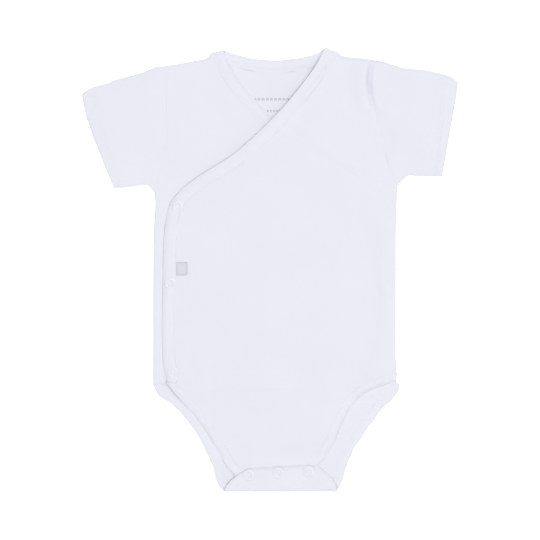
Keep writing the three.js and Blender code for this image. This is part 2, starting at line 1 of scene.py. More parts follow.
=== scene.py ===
# %% [markdown]
# # A wrap-over baby bodysuit, laid flat
# The garment lies closed on its back and is seen from straight above. It is white cotton jersey
# with self-bound edges, ring snaps down one side and three more on a flap that folds up from the
# back. This lesson dresses a frame of plain solids: each piece of cloth becomes a fine thin shell
# on the form of its solid, then come the bindings, the sewing, the snaps, the light and the camera.
# All lengths are metres. X runs across the garment, Y up to its neck, and Z out of its front.

# %% Load the frame
import math
from collections import namedtuple

import bpy
import numpy as np
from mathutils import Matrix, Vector


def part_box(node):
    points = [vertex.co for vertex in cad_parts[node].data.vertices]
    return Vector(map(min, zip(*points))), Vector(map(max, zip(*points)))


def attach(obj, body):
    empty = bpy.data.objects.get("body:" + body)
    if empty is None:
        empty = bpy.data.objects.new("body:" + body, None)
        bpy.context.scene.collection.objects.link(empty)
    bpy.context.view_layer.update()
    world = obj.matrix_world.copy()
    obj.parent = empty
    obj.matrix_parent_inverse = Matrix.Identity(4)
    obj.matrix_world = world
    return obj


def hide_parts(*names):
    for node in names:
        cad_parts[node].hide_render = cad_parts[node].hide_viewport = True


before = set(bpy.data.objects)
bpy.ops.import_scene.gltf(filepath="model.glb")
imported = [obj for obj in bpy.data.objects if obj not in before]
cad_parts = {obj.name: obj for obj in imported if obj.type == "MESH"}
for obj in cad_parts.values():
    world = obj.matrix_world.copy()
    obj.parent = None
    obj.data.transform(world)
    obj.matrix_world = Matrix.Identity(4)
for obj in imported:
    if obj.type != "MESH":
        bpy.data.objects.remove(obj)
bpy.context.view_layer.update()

# %% [markdown]
# ## The camera
# The garment was photographed from straight above, so the camera looks down on the origin. A long
# lens far away keeps the sleeves and the crotch free of perspective. The focal length follows from
# how wide a strip of the floor the picture takes in.

# %% Camera
FRAME_WIDTH = 0.4536  # width of the strip of floor that the picture shows
CAMERA_HEIGHT = 1.6
SENSOR = 36.0

camera_data = bpy.data.cameras.new("camera")
camera_data.sensor_width = SENSOR
camera_data.lens = SENSOR * CAMERA_HEIGHT / FRAME_WIDTH
camera = bpy.data.objects.new("camera", camera_data)
camera.location = (0, 0, CAMERA_HEIGHT)
bpy.context.collection.objects.link(camera)
bpy.context.scene.camera = camera
print(f"lens {camera_data.lens:.1f} mm")

# %% [markdown]
# ## Cut lines
# A maker starts from the cut pieces. Each edge is a smooth curve through a few landmarks, listed
# from the neck down. Below the fold at the crotch the second number runs on along the cloth, as if
# the flap weren't turned up. The same landmarks shape the solids, so shells and solids agree.

# %% Landmarks of the edges
OUTLINE = {
    "shoulder_left": [
        (-0.0861, 0.1712), (-0.0752, 0.1728), (-0.0634, 0.1752), (-0.0524, 0.1780),
        (-0.0488, 0.1824), (-0.0385, 0.1846),
    ],
    "back_neck": [
        (-0.0385, 0.1846), (-0.0265, 0.1804), (-0.0122, 0.1774), (0.0046, 0.1762),
        (0.0189, 0.1774), (0.0323, 0.1798), (0.0405, 0.1827), (0.0465, 0.1868),
    ],
    "shoulder_right": [
        (0.0465, 0.1868), (0.0566, 0.1826), (0.0604, 0.1796), (0.0693, 0.1780), (0.0853, 0.1764),
    ],
    "armhole_left": [
        (-0.0861, 0.1712), (-0.0865, 0.1500), (-0.0866, 0.1280), (-0.0874, 0.1060),
        (-0.0916, 0.0840), (-0.0962, 0.0634),
    ],
    "armhole_right": [
        (0.0853, 0.1764), (0.0828, 0.1630), (0.0842, 0.1450), (0.0890, 0.1280),
        (0.0948, 0.1080), (0.1000, 0.0860), (0.1068, 0.0696),
    ],
    "side_left": [
        (-0.0962, 0.0634), (-0.0958, 0.0550), (-0.0969, 0.0360), (-0.0976, -0.0100),
        (-0.0977, -0.0760), (-0.0980, -0.0970),
    ],
    "side_right": [
        (0.1068, 0.0696), (0.1059, 0.0550), (0.1052, 0.0360), (0.1050, -0.0200),
        (0.1051, -0.0760), (0.1066, -0.0900), (0.1090, -0.0970),
    ],
    "leg_left": [
        (-0.0980, -0.0970), (-0.0940, -0.1050), (-0.0824, -0.1130), (-0.0697, -0.1264),
        (-0.0603, -0.1399), (-0.0534, -0.1533), (-0.0480, -0.1664), (-0.0454, -0.1760),
        (-0.0415, -0.1832), (-0.0380, -0.1874), (-0.0374, -0.1915), (-0.0343, -0.1970),
        (-0.0281, -0.2022), (-0.0180, -0.2081),
    ],
    "leg_right": [
        (0.1090, -0.0970), (0.1070, -0.1040), (0.0949, -0.1163), (0.0844, -0.1298),
        (0.0752, -0.1432), (0.0676, -0.1567), (0.0630, -0.1701), (0.0608, -0.1770),
        (0.0577, -0.1834), (0.0556, -0.1874), (0.0560, -0.1915), (0.0542, -0.1970),
        (0.0504, -0.2020), (0.0390, -0.2123),
    ],
}
FRONT_EDGES = {
    "wrap": [
        (0.0465, 0.1868), (0.0368, 0.1690), (0.0172, 0.1438), (0.0032, 0.1284), (-0.0304, 0.0976),
        (-0.0612, 0.0780), (-0.0754, 0.0668), (-0.0836, 0.0565), (-0.0880, 0.0400),
        (-0.0902, -0.0100), (-0.0900, -0.0760), (-0.0864, -0.0956),
    ],
    "under": [
        (-0.0385, 0.1846), (-0.0301, 0.1667), (-0.0133, 0.1445), (0.0029, 0.1277), (0.0360, 0.0986),
        (0.0660, 0.0780), (0.0800, 0.0668), (0.0875, 0.0540), (0.0900, 0.0360),
        (0.0906, -0.0200), (0.0900, -0.0970),
    ],
    "leg_left": [
        (-0.0864, -0.0959), (-0.0752, -0.1096), (-0.0640, -0.1222), (-0.0528, -0.1373),
        (-0.0444, -0.1516), (-0.0360, -0.1656), (-0.0295, -0.1730), (-0.0270, -0.1810),
    ],
    "leg_right": [
        (0.1064, -0.0940), (0.0900, -0.0994), (0.0760, -0.1068), (0.0676, -0.1166),
        (0.0592, -0.1320), (0.0536, -0.1460), (0.0466, -0.1572), (0.0386, -0.1650),
        (0.0370, -0.1810),
    ],
}
UNDER_HEM = -0.097  # the front beneath ends straight across here
FRONT_BAND_END = -0.0851  # the side seam of the front stops here
FRONT_HEM = -0.181  # lower end of the front, under the flap
FOLD_LINE = -0.1838  # where the extension of the back turns up
FOLD_RADIUS = 0.0023

# %% [markdown]
# ## Reading an edge
# The curve through the landmarks is the centripetal kind, which never loops between two of them.
# Every edge of this garment runs steadily downwards, so a place on it can be found by its height.

# %% Smooth edges
EAST, WEST = 1, -1
TURN_REACH = 0.01  # share of an edge over which its direction is read to either side
START_REACH = 0.09  # share over which a direction of its own at the start gives way


def fade(distance, near, far):
    """One while the distance is at most near, nought from far on, and smooth between."""
    share = np.clip((far - distance) / (far - near), 0, 1)
    return share * share * (3 - 2 * share)


def blend(first, last, share):
    return first + (last - first) * share


def smooth_line(points, steps=24):
    """A smooth line through the landmarks, as short straight steps."""
    knots = np.array(points, dtype=float)
    knots = np.vstack([2 * knots[0] - knots[1], knots, 2 * knots[-1] - knots[-2]])
    t = np.linspace(0, 1, steps, endpoint=False)[:, None]
    stretches = []
    for before, start, end, after in zip(knots, knots[1:], knots[2:], knots[3:]):
        near = np.linalg.norm(start - before) ** 0.5
        span = np.linalg.norm(end - start) ** 0.5
        far = np.linalg.norm(after - end) ** 0.5
        leave = (start - before) / near - (end - before) / (near + span) + (end - start) / span
        arrive = (end - start) / span - (after - start) / (span + far) + (after - end) / far
        leave = leave * span
        arrive = arrive * span
        square = 3 * (end - start) - 2 * leave - arrive
        cube = 2 * (start - end) + leave + arrive
        stretches.append(start + leave * t + square * t**2 + cube * t**3)
    return np.vstack([*stretches, knots[-2:-1]])


def height_of(line, x):
    """Height of a line that runs across the garment, at the places x along it."""
    i = np.clip(np.searchsorted(line[:, 0], x), 1, len(line) - 1)
    a, b = line[i - 1], line[i]
    slope = (b[..., 1] - a[..., 1]) / (b[..., 0] - a[..., 0])
    return a[..., 1] + slope * (x - a[..., 0])


class Edge:
    """A smooth edge, read by how high up the garment a point is, or by a share of its length."""

    def __init__(self, points):
        self.line = smooth_line(points)
        self.shares = np.linspace(0, 1, len(self.line))
        self.top = points[0][1]
        self.bottom = points[-1][1]
        depth = np.maximum.accumulate(-self.line[:, 1])
        self.depth = depth + np.arange(len(depth)) * 1e-9

    def locate(self, y):
        return np.interp(-np.asarray(y, dtype=float), self.depth, self.shares)

    def point(self, share):
        share = np.clip(share, 0, 1)
        x = np.interp(share, self.shares, self.line[:, 0])
        y = np.interp(share, self.shares, self.line[:, 1])
        return np.stack([x, y], axis=-1)

    def at(self, y):
        return self.point(self.locate(y))

    def across(self, share, side, start=None):
        """The unit direction into the piece, which lies east or west of the edge."""
        share = np.asarray(share, dtype=float)
        a = self.point(share - TURN_REACH)
        b = self.point(share + TURN_REACH)
        inward = np.stack([a[..., 1] - b[..., 1], b[..., 0] - a[..., 0]], axis=-1) * side
        inward /= np.linalg.norm(inward, axis=-1, keepdims=True)
        if start is not None:
            own = np.array(start) / np.linalg.norm(start)
            inward = blend(inward, own, fade(share, 0, START_REACH)[..., None])
            inward /= np.linalg.norm(inward, axis=-1, keepdims=True)
        return inward

    def beside(self, width, side, start=None):
        """The edge that runs beside this one, a width away inside its piece."""
        share = np.linspace(0, 1, 41)
        points = self.point(share) + self.across(share, side, start) * width
        return Edge([tuple(p) for p in points])


cut = {name: Edge(points) for name, points in OUTLINE.items()}
front = {name: Edge(points) for name, points in FRONT_EDGES.items()}
print(len(cut) + len(front), "edges")

# %% [markdown]
# ## How high each layer lies
# Laid out, the cloth is a stack: the back on the floor, one front on it, the other front over both.
# The heights of the layers follow from the thickness of the cloth. Where a piece passes the edge
# of the one beneath, it comes down over it in a soft step.

# %% Layers
CLOTH = 0.0010  # wall of the jersey
SEAM = 0.0003  # space between two layers
BAND_WALL = 0.0015  # jersey folded double
NECK_BAND = 0.011
LEG_BAND = 0.008
BACK_NECK_DEPTH = 0.011  # depth of the binding inside the back neck
FLAP_REACH = -0.160  # below this the flap presses the front flat
EASE = 0.0007  # the cloth lies this free of the layer beneath, so that a trough can sink

back_neck_line = smooth_line(OUTLINE["back_neck"], 8)
shoulder_line_left = smooth_line(OUTLINE["shoulder_left"], 8)
shoulder_line_right = smooth_line(OUTLINE["shoulder_right"], 8)
NECK_LEFT, NECK_RIGHT = OUTLINE["back_neck"][0][0], OUTLINE["back_neck"][-1][0]
NECK_MIDDLE = (NECK_LEFT + NECK_RIGHT) / 2
NECK_HALF = (NECK_RIGHT - NECK_LEFT) / 2


def back_top(x, y):
    """Top of the back, which is raised where its binding lies inside the neck."""
    sideways = fade(np.abs(x - NECK_MIDDLE), NECK_HALF - 0.003, NECK_HALF + 0.006)
    down = fade(height_of(back_neck_line, x) - BACK_NECK_DEPTH - y, 0.002, 0.014)
    return CLOTH + (CLOTH + SEAM) * sideways * down


# %% [markdown]
# ## Folds and creases
# Limp jersey never lies quite flat. The large soft folds are in the solids too. The creases below
# them are finer: each is a short soft ridge or trough between two points, set where the
# cloth shows one, and uneven in length, width and height. A ring snap also pulls the cloth in, and
# lets it bulge through its middle.

# %% Folds and creases, each from one point to another
Fold = namedtuple("Fold", "piece start end width height")
FOLDS = [
    Fold("over", (0.076, 0.047), (0.086, -0.020), 0.007, -0.0007),
    Fold("over", (0.086, -0.020), (0.077, -0.088), 0.008, -0.0007),
    Fold("over", (0.096, 0.040), (0.097, -0.080), 0.005, 0.0007),
    Fold("over", (0.060, 0.030), (0.062, -0.060), 0.013, 0.0006),
    Fold("over", (0.076, 0.166), (0.080, 0.138), 0.008, 0.0013),
    Fold("over", (0.098, 0.092), (0.095, 0.055), 0.006, -0.0006),
    Fold("over", (0.030, 0.112), (-0.020, 0.060), 0.020, 0.0005),
    Fold("over", (-0.058, -0.070), (-0.057, -0.106), 0.005, 0.0005),
    Fold("over", (0.002, -0.120), (0.004, -0.150), 0.018, 0.0006),
    Fold("over", (0.084, -0.088), (0.094, -0.093), 0.004, 0.0006),
    Fold("under", (-0.094, 0.092), (-0.078, 0.112), 0.007, 0.0008),
    Fold("under", (-0.062, 0.150), (-0.054, 0.118), 0.012, 0.0006),
    Fold("left", (-0.110, 0.084), (-0.099, 0.100), 0.007, -0.0005),
    Fold("left", (-0.110, 0.140), (-0.134, 0.112), 0.016, 0.0010),
    Fold("right", (0.112, 0.140), (0.126, 0.110), 0.016, 0.0011),
    Fold("right", (0.118, 0.088), (0.142, 0.090), 0.006, -0.0005),
]
CREASES = [
    Fold("over", (0.0835, 0.1760), (0.0815, 0.1400), 0.0032, -0.0014),
    Fold("right", (0.0880, 0.1740), (0.0850, 0.1400), 0.0030, -0.0010),
    Fold("over", (0.050, 0.196), (0.004, 0.124), 0.011, 0.0044),
    Fold("over", (0.092, 0.027), (0.104, 0.022), 0.0030, 0.0004),
    Fold("over", (0.092, -0.015), (0.104, -0.022), 0.0030, 0.0004),
    Fold("over", (0.080, -0.054), (0.092, -0.063), 0.0035, 0.0004),
    Fold("over", (0.086, 0.062), (0.102, 0.070), 0.0030, 0.0003),
    Fold("over", (-0.058, -0.0905), (0.030, -0.0915), 0.0022, 0.0003),
    Fold("over", (-0.056, -0.0985), (0.034, -0.0990), 0.0022, 0.0003),
    Fold("over", (-0.080, -0.094), (-0.066, -0.086), 0.0030, 0.0004),
    Fold("over", (-0.012, -0.132), (-0.016, -0.156), 0.0045, 0.0003),
    Fold("over", (0.022, -0.128), (0.026, -0.152), 0.0045, 0.0003),
    Fold("under", (-0.080, 0.078), (-0.066, 0.090), 0.0035, 0.0004),
    Fold("under", (-0.048, 0.160), (-0.030, 0.140), 0.0040, 0.0003),
    Fold("left", (-0.138, 0.132), (-0.120, 0.122), 0.0050, 0.0004),
    Fold("left", (-0.106, 0.108), (-0.118, 0.090), 0.0045, -0.0004),
    Fold("left", (-0.098, 0.150), (-0.106, 0.128), 0.0050, 0.0004),
    Fold("right", (0.098, 0.158), (0.104, 0.134), 0.0050, 0.0004),
    Fold("right", (0.112, 0.104), (0.128, 0.088), 0.0050, -0.0004),
    Fold("right", (0.132, 0.136), (0.142, 0.112), 0.0050, 0.0004),
    Fold("back", (0.083, -0.101), (0.093, -0.109), 0.0025, 0.0006),
    Fold("back", (0.092, -0.098), (0.101, -0.104), 0.0025, 0.0005),
    Fold("back", (0.074, -0.112), (0.083, -0.121), 0.0028, 0.0005),
    Fold("back", (-0.010, 0.158), (0.016, 0.150), 0.0060, 0.0004),
]


def nearest_on(start, end, x, y):
    """Distance from a segment, and the share along it of the nearest point."""
    ax, ay = start
    dx, dy = end[0] - ax, end[1] - ay
    share = np.clip(((x - ax) * dx + (y - ay) * dy) / (dx * dx + dy * dy), 0, 1)
    return np.hypot(x - ax - share * dx, y - ay - share * dy), share


def lift(piece, x, y):
    """How far the folds of a piece raise it."""
    total = np.zeros_like(x)
    for fold in FOLDS:
        if fold.piece == piece:
            distance, _ = nearest_on(fold.start, fold.end, x, y)
            total = total + fold.height * np.exp(-((distance / fold.width) ** 2))
    return total


def crease(piece, x, y):
    """How far its creases raise it, each dying away towards its ends."""
    total = np.zeros_like(x)
    for fold in CREASES:
        if fold.piece == piece:
            distance, share = nearest_on(fold.start, fold.end, x, y)
            taper = 0.25 + 0.75 * np.sin(math.pi * share)
            total = total + fold.height * taper * np.exp(-((distance / fold.width) ** 2))
    return total


def unevenness(x, y, size, seed):
    """The slight waviness of limp cloth, roughly between -1 and 1, from a few seeded waves."""
    random = np.random.default_rng(seed)
    total = np.zeros_like(x)
    waves = 9
    for _ in range(waves):
        turn, phase = random.uniform(0, 2 * math.pi, 2)
        length = size * random.uniform(0.6, 1.7)
        along = x * math.cos(turn) + y * math.sin(turn)
        total = total + np.sin(2 * math.pi * along / length + phase)
    return total / math.sqrt(2 * waves)


# %% Height of the underside of each front
SNAP_RADIUS = 0.00475
SNAP_NODES = [f"{place}_snap_{k}" for place in ("side", "crotch") for k in (1, 2, 3)]


def middle_of(node):
    """The middle of a solid's footprint, and its lowest height, read from the frame."""
    low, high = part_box(node)
    return (low[0] + high[0]) / 2, (low[1] + high[1]) / 2, low[2]


snap_places = {node: middle_of(node) for node in SNAP_NODES}


def snap_pull(x, y, group):
    """The cloth sinks in a ring round each snap, and bulges a little through its middle."""
    total = np.zeros_like(x)
    for node, (px, py, _) in snap_places.items():
        if node.startswith(group):
            distance = np.hypot(x - px, y - py)
            dimple = np.exp(-(((distance - SNAP_RADIUS) / 0.0022) ** 2))
            bulge = np.exp(-((distance / 0.0018) ** 2))
            total = total - 0.00012 * dimple + 0.0008 * bulge
    return total


def under_floor(x, y):
    """Underside of the front beneath."""
    held = np.clip(y, -0.095, 0.185)
    edge = front["wrap"].at(held)
    shows = fade(y - edge[..., 1], 0, 0.001)
    free = fade(x - edge[..., 0], -0.016, -0.004)
    shape = np.maximum(0.0003 + lift("under", x, y) + crease("under", x, y), 0)
    return back_top(x, y) + SEAM + shows * free * shape


def over_floor(x, y):
    """Underside of the front on top: it lies on the one beneath and comes down past its edges."""
    edge_x = front["under"].at(np.clip(y, UNDER_HEM, 0.184))[..., 0]
    covered = fade(x - edge_x, 0.002, 0.015) * fade(UNDER_HEM - y, 0.001, 0.024)
    loose = 1 - fade(y, FLAP_REACH, FLAP_REACH + 0.016)
    on_back = back_top(x, y) + SEAM + 0.0005 * fade(y, -0.100, -0.088) * loose
    on_under = back_top(x, y) + SEAM + BAND_WALL + SEAM
    shape = np.maximum(EASE + lift("over", x, y) + crease("over", x, y), 0)
    return blend(on_back, on_under, covered) + shape * loose


probe = np.array([0.0]), np.array([0.0])
print("front on top lies", over_floor(*probe) * 1000, "mm up at the origin")

# %% [markdown]
# ## A wall of cloth as a mesh
# Each piece is two grids of points, the face that shows and the face beneath, joined all round by
# a rim. The rim has a row of its own, pushed out a little, so that a free edge looks soft and
# rounded. The piece's own flat pattern becomes its UV map, in metres, so knit and stitches can
# follow the cloth. A modifier could thicken a single sheet, but two grids also let the face that
# rests stay flat.

# %% Shell builder
RIM_BULGE = 0.3  # how far the rim stands out, as a share of the thickness


def grid_faces(index):
    """Four-cornered faces between the rows and columns of a grid of point numbers."""
    corners = index[:-1, :-1], index[:-1, 1:], index[1:, 1:], index[1:, :-1]
    return np.stack(corners, axis=-1).reshape(-1, 4)


def border(rows, columns, around):
    """Closed loops of grid places along the border, each place with its neighbour inside."""
    if around:
        first = [((0, j), (1, j)) for j in range(columns)]
        last = [((rows - 1, j), (rows - 2, j)) for j in reversed(range(columns))]
        return [first, last]
    places = [(0, j) for j in range(columns - 1)]
    places += [(i, columns - 1) for i in range(rows - 1)]
    places += [(rows - 1, j) for j in range(columns - 1, 0, -1)]
    places += [(i, 0) for i in range(rows - 1, 0, -1)]
    inside = [(min(max(i, 1), rows - 2), min(max(j, 1), columns - 2)) for i, j in places]
    return [list(zip(places, inside))]


def volume_of(points, faces):
    a, b, c, d = (points[faces[:, k]] for k in range(4))
    first = np.einsum("ij,ij->i", a, np.cross(b, c))
    second = np.einsum("ij,ij->i", a, np.cross(c, d))
    return (first.sum() + second.sum()) / 6


def as_object(name, points, faces, pattern, material):
    """A smooth mesh at the origin, its faces pointing out, with the flat pattern as its UV map."""
    if volume_of(points, faces) < 0:
        faces = faces[:, ::-1]
    mesh = bpy.data.meshes.new(name)
    mesh.from_pydata(points.tolist(), [], faces.tolist())
    layer = mesh.uv_layers.new(name="cloth")
    layer.data.foreach_set("uv", pattern[faces.ravel()].astype(np.float32).ravel())
    mesh.shade_smooth()
    mesh.materials.append(material)
    piece = bpy.data.objects.new(name, mesh)
    bpy.context.collection.objects.link(piece)
    print(name, len(faces) * 2, "triangles")
    return piece


def shell(name, over, under, pattern, material, around=False):
    """A closed wall between two grids of points, with a rounded rim."""
    rows, columns = over.shape[:2]
    index = np.arange(rows * columns).reshape(rows, columns)
    beneath = index + rows * columns
    points = [over.reshape(-1, 3), under.reshape(-1, 3)]
    flat = [pattern.reshape(-1, 2), pattern.reshape(-1, 2)]
    looped = np.hstack([index, index[:, :1]]) if around else index
    faces = [grid_faces(looped), grid_faces(looped + rows * columns)[:, ::-1]]
    used = 2 * rows * columns
    for loop in border(rows, columns, around):
        place = np.array([p for p, _ in loop])
        inside = np.array([p for _, p in loop])
        top = over[place[:, 0], place[:, 1]]
        low = under[place[:, 0], place[:, 1]]
        away = top - over[inside[:, 0], inside[:, 1]]
        away /= np.linalg.norm(away, axis=1, keepdims=True) + 1e-9
        thick = np.linalg.norm(top - low, axis=1, keepdims=True)
        points.append((top + low) / 2 + away * thick * RIM_BULGE)
        flat.append(pattern[place[:, 0], place[:, 1]])
        rim = used + np.arange(len(loop))
        used += len(loop)
        a, low_a = index[place[:, 0], place[:, 1]], beneath[place[:, 0], place[:, 1]]
        b, low_b, rim_b = np.roll(a, -1), np.roll(low_a, -1), np.roll(rim, -1)
        faces.append(np.stack([b, a, rim, rim_b], axis=-1))
        faces.append(np.stack([rim_b, rim, low_a, low_b], axis=-1))
    return as_object(name, np.vstack(points), np.vstack(faces), np.vstack(flat), material)


def upward(grid):
    """The upward unit direction at each point of a grid that lies roughly flat."""
    normal = np.cross(np.gradient(grid, axis=0), np.gradient(grid, axis=1))
    normal /= np.linalg.norm(normal, axis=-1, keepdims=True) + 1e-12
    return normal * np.where(normal[..., 2:] < 0, -1, 1)


def flat_size(pattern):
    """Width, length and area of a flat pattern grid."""
    across = np.linalg.norm(np.diff(pattern, axis=1), axis=-1).sum(axis=1).max()
    along = np.linalg.norm(np.diff(pattern, axis=0), axis=-1).sum(axis=0).max()
    one = pattern[1:, 1:] - pattern[:-1, :-1]
    two = pattern[1:, :-1] - pattern[:-1, 1:]
    area = np.abs(one[..., 0] * two[..., 1] - one[..., 1] * two[..., 0]).sum() / 2
    return float(across), float(along), float(area)


# %% [markdown]
# ## Finishes
# Everything here is white on white, so the finish lives in small differences: the knit of the
# jersey, its soft nap, the smoother moulded snaps, the flat weave of the label. The knit is drawn
# from sums of simple curves on the UV map: each wale is a column of little chevrons, one to a
# stitch. It drives the bump, and darkens the colour in its hollows as painted shade.

# %% A material made node by node
class Finish:
    """A material with one surface shader, and short calls for adding nodes to it."""

    def __init__(self, name, colour, roughness):
        self.material = bpy.data.materials.new(name)
        self.material.use_nodes = True
        self.nodes = self.material.node_tree.nodes
        self.links = self.material.node_tree.links
        self.shader = self.nodes["Principled BSDF"]
        self.shader.inputs["Base Color"].default_value = (*colour, 1)
        self.shader.inputs["Roughness"].default_value = roughness

    def add(self, kind, **settings):
        node = self.nodes.new(kind)
        for name, value in settings.items():
            setattr(node, name, value)
        return node

    def plug(self, socket, value):
        if isinstance(value, bpy.types.NodeSocket):
            self.links.new(value, socket)
        else:
            socket.default_value = value

    def calc(self, operation, *values):
        node = self.add("ShaderNodeMath", operation=operation)
        for socket, value in zip(node.inputs, values):
            self.plug(socket, value)
        return node.outputs["Value"]

    def noise(self, coordinates, scale, detail=2.0):
        node = self.add("ShaderNodeTexNoise")
        self.plug(node.inputs["Vector"], coordinates)
        node.inputs["Scale"].default_value = scale
        node.inputs["Detail"].default_value = detail
        return node.outputs["Fac"]

    def between(self, factor, low, high):
        """A colour between two, by a factor from nought to one."""
        node = self.add("ShaderNodeMix", data_type="RGBA")
        self.plug(node.inputs["Factor"], factor)
        sockets = [s for s in node.inputs if s.type == "RGBA"]
        sockets[0].default_value = (*low, 1)
        sockets[1].default_value = (*high, 1)
        return next(s for s in node.outputs if s.type == "RGBA")

    def spread(self, factor, low, high):
        """A value between two, by a factor from nought to one."""
        node = self.add("ShaderNodeMapRange")
        self.plug(node.inputs["Value"], factor)
        node.inputs["To Min"].default_value = low
        node.inputs["To Max"].default_value = high
        return node.outputs["Result"]

    def object_place(self):
        return self.add("ShaderNodeTexCoord").outputs["Object"]

    def cloth_place(self):
        return self.add("ShaderNodeUVMap", uv_map="cloth").outputs["UV"]

    def tint(self, share, first, last):
        """Lets the colour of the material run between two colours."""
        self.links.new(self.between(share, first, last), self.shader.inputs["Base Color"])

    def bump(self, height, strength, depth):
        node = self.add("ShaderNodeBump")
        node.inputs["Strength"].default_value = strength
        node.inputs["Distance"].default_value = depth
        self.plug(node.inputs["Height"], height)
        self.links.new(node.outputs["Normal"], self.shader.inputs["Normal"])


# %% Jersey
WALE = 0.00060  # width of one column of stitches
COURSE = 0.00046  # height of one row of stitches


def shade(colour, factor):
    return tuple(value * factor for value in colour)


def knit_height(finish, place):
    """Height of stocking stitch: columns of chevrons with a valley between columns."""
    parts = finish.add("ShaderNodeSeparateXYZ")
    finish.plug(parts.inputs[0], place)
    column = finish.calc("FRACT", finish.calc("DIVIDE", parts.outputs["X"], WALE))
    leg = finish.calc("ABSOLUTE", finish.calc("SUBTRACT", column, 0.5))
    row = finish.calc("ADD", finish.calc("DIVIDE", parts.outputs["Y"], COURSE), leg)
    chevron = finish.calc("SINE", finish.calc("MULTIPLY", row, 2 * math.pi))
    arch = finish.calc("SINE", finish.calc("MULTIPLY", leg, 2 * math.pi))
    loop = finish.calc("MULTIPLY_ADD", chevron, 0.25, 0.5)
    return finish.calc("MULTIPLY", loop, finish.calc("MULTIPLY_ADD", arch, 0.6, 0.4))


def jersey(name, colour, relief=0.35):
    """Matte single jersey: knit relief, a fine nap, a slight random drift of colour, and painted
    shade in the knit's hollows.
    """
    finish = Finish(name, colour, 0.9)
    place = finish.cloth_place()
    knit = knit_height(finish, place)
    nap = finish.noise(finish.object_place(), 2600, 3)
    drift = finish.noise(finish.object_place(), 22, 2)
    # The colour is darker where the knit is low, which is painted shade in its hollows, and it
    # drifts at random over the cloth.
    drift_and_hollow_shade = finish.calc("MULTIPLY_ADD", knit, 0.35, finish.calc("MULTIPLY", drift, 0.65))
    colours = finish.between(drift_and_hollow_shade, shade(colour, 0.965), shade(colour, 1.02))
    finish.links.new(colours, finish.shader.inputs["Base Color"])
    finish.links.new(finish.spread(nap, 0.82, 0.98), finish.shader.inputs["Roughness"])
    finish.bump(finish.calc("MULTIPLY_ADD", nap, 0.5, knit), relief, 0.00012)
    finish.shader.inputs["Sheen Weight"].default_value = 0.12
    finish.shader.inputs["Sheen Roughness"].default_value = 0.6
    finish.shader.inputs["Specular IOR Level"].default_value = 0.2
    return finish


JERSEY_WHITE = (0.757, 0.761, 0.832)
BINDING_WHITE = (0.762, 0.766, 0.836)
jersey_finish = jersey("jersey_white", JERSEY_WHITE)
binding_finish = jersey("jersey_binding", BINDING_WHITE, 0.3)
print("finishes", [m.name for m in bpy.data.materials])

# %% [markdown]
# ## The printed mark in the neck
# Such garments carry a small grey print inside the back neck. Here it is only two rows of plain
# dashes. The print is ink, not form, so it is a mask in the material of the back, worked out from
# where each point lies.

# %% Back jersey with a plain print
INK = (0.50, 0.51, 0.56)
Row = namedtuple("Row", "left right middle height pitch filled")
PRINT = [
    Row(-0.0130, 0.0200, 0.1434, 0.0021, 0.0035, 0.68),
    Row(-0.0030, 0.0125, 0.1335, 0.0018, 0.0026, 0.60),
]


def printed(finish, place, row):
    """One where the row of dashes is inked."""
    parts = finish.add("ShaderNodeSeparateXYZ")
    finish.plug(parts.inputs[0], place)
    x, y = parts.outputs["X"], parts.outputs["Y"]
    inside = finish.calc("MULTIPLY", finish.calc("GREATER_THAN", x, row.left),
                         finish.calc("LESS_THAN", x, row.right))
    away = finish.calc("ABSOLUTE", finish.calc("SUBTRACT", y, row.middle))
    level = finish.calc("LESS_THAN", away, row.height / 2)
    step = finish.calc("FRACT", finish.calc("DIVIDE", x, row.pitch))
    dash = finish.calc("LESS_THAN", step, row.filled)
    inner_face = finish.calc("GREATER_THAN", parts.outputs["Z"], CLOTH / 2)
    spot = finish.calc("MULTIPLY", finish.calc("MULTIPLY", inside, level), dash)
    return finish.calc("MULTIPLY", spot, inner_face)


back_finish = jersey("jersey_back", JERSEY_WHITE)
marks = [printed(back_finish, back_finish.object_place(), row) for row in PRINT]
ink = back_finish.calc("MULTIPLY", back_finish.calc("ADD", *marks), 0.85)
mix = back_finish.add("ShaderNodeMix", data_type="RGBA")
plain = back_finish.shader.inputs["Base Color"].links[0].from_socket
colour_inputs = [s for s in mix.inputs if s.type == "RGBA"]
back_finish.links.new(ink, mix.inputs["Factor"])
back_finish.links.new(plain, colour_inputs[0])
colour_inputs[1].default_value = (*INK, 1)
back_finish.links.new(next(s for s in mix.outputs if s.type == "RGBA"),
                      back_finish.shader.inputs["Base Color"])

# %% [markdown]
# ## Laying out a panel
# A panel is laid out in rows between the two edges down its sides. Rows and columns come close
# together near its sewn edges, where the cloth rolls down into the seam.

# %% Rows and columns of a panel
ROW_STEP = 0.0022
COLUMNS = 112
RIM_DROP = 0.0010  # how far a sewn edge bends down at the side and the shoulder
ARM_DROP = 0.0002  # and at the armhole
ARM_WIDTH = 0.0034
ARM_PULL = 0.0009
ARM_LAP = 0.0005  # a front lies this far over the seam of its sleeve
RIM_WIDTH = 0.0026
TUCK = 0.0022  # how far a panel goes into the binding beside it
SEWN_INSET = 0.002
SHOULDER_INSET = 0.004


def rows_between(stretches):
    """Pairs of points down the two sides of a panel."""
    found = []
    for left, right in stretches:
        fall = max(left[1] - left[2], right[1] - right[2])
        count = max(int(math.ceil(fall / ROW_STEP)), 2)
        for share in np.linspace(0, 1, count + 1):
            row = [edge.at(blend(top, low, share)) for edge, top, low in (left, right)]
            if found:
                moved = max(np.linalg.norm(row[k] - found[-1][k]) for k in (0, 1))
            if not found or moved > 0.0003:
                found.append(row)
    return np.array(found)


def column_shares(count=COLUMNS):
    """Shares across a row, closer together near both ends."""
    share = np.linspace(0, 1, count)
    return share - 0.1 * np.sin(2 * math.pi * share)


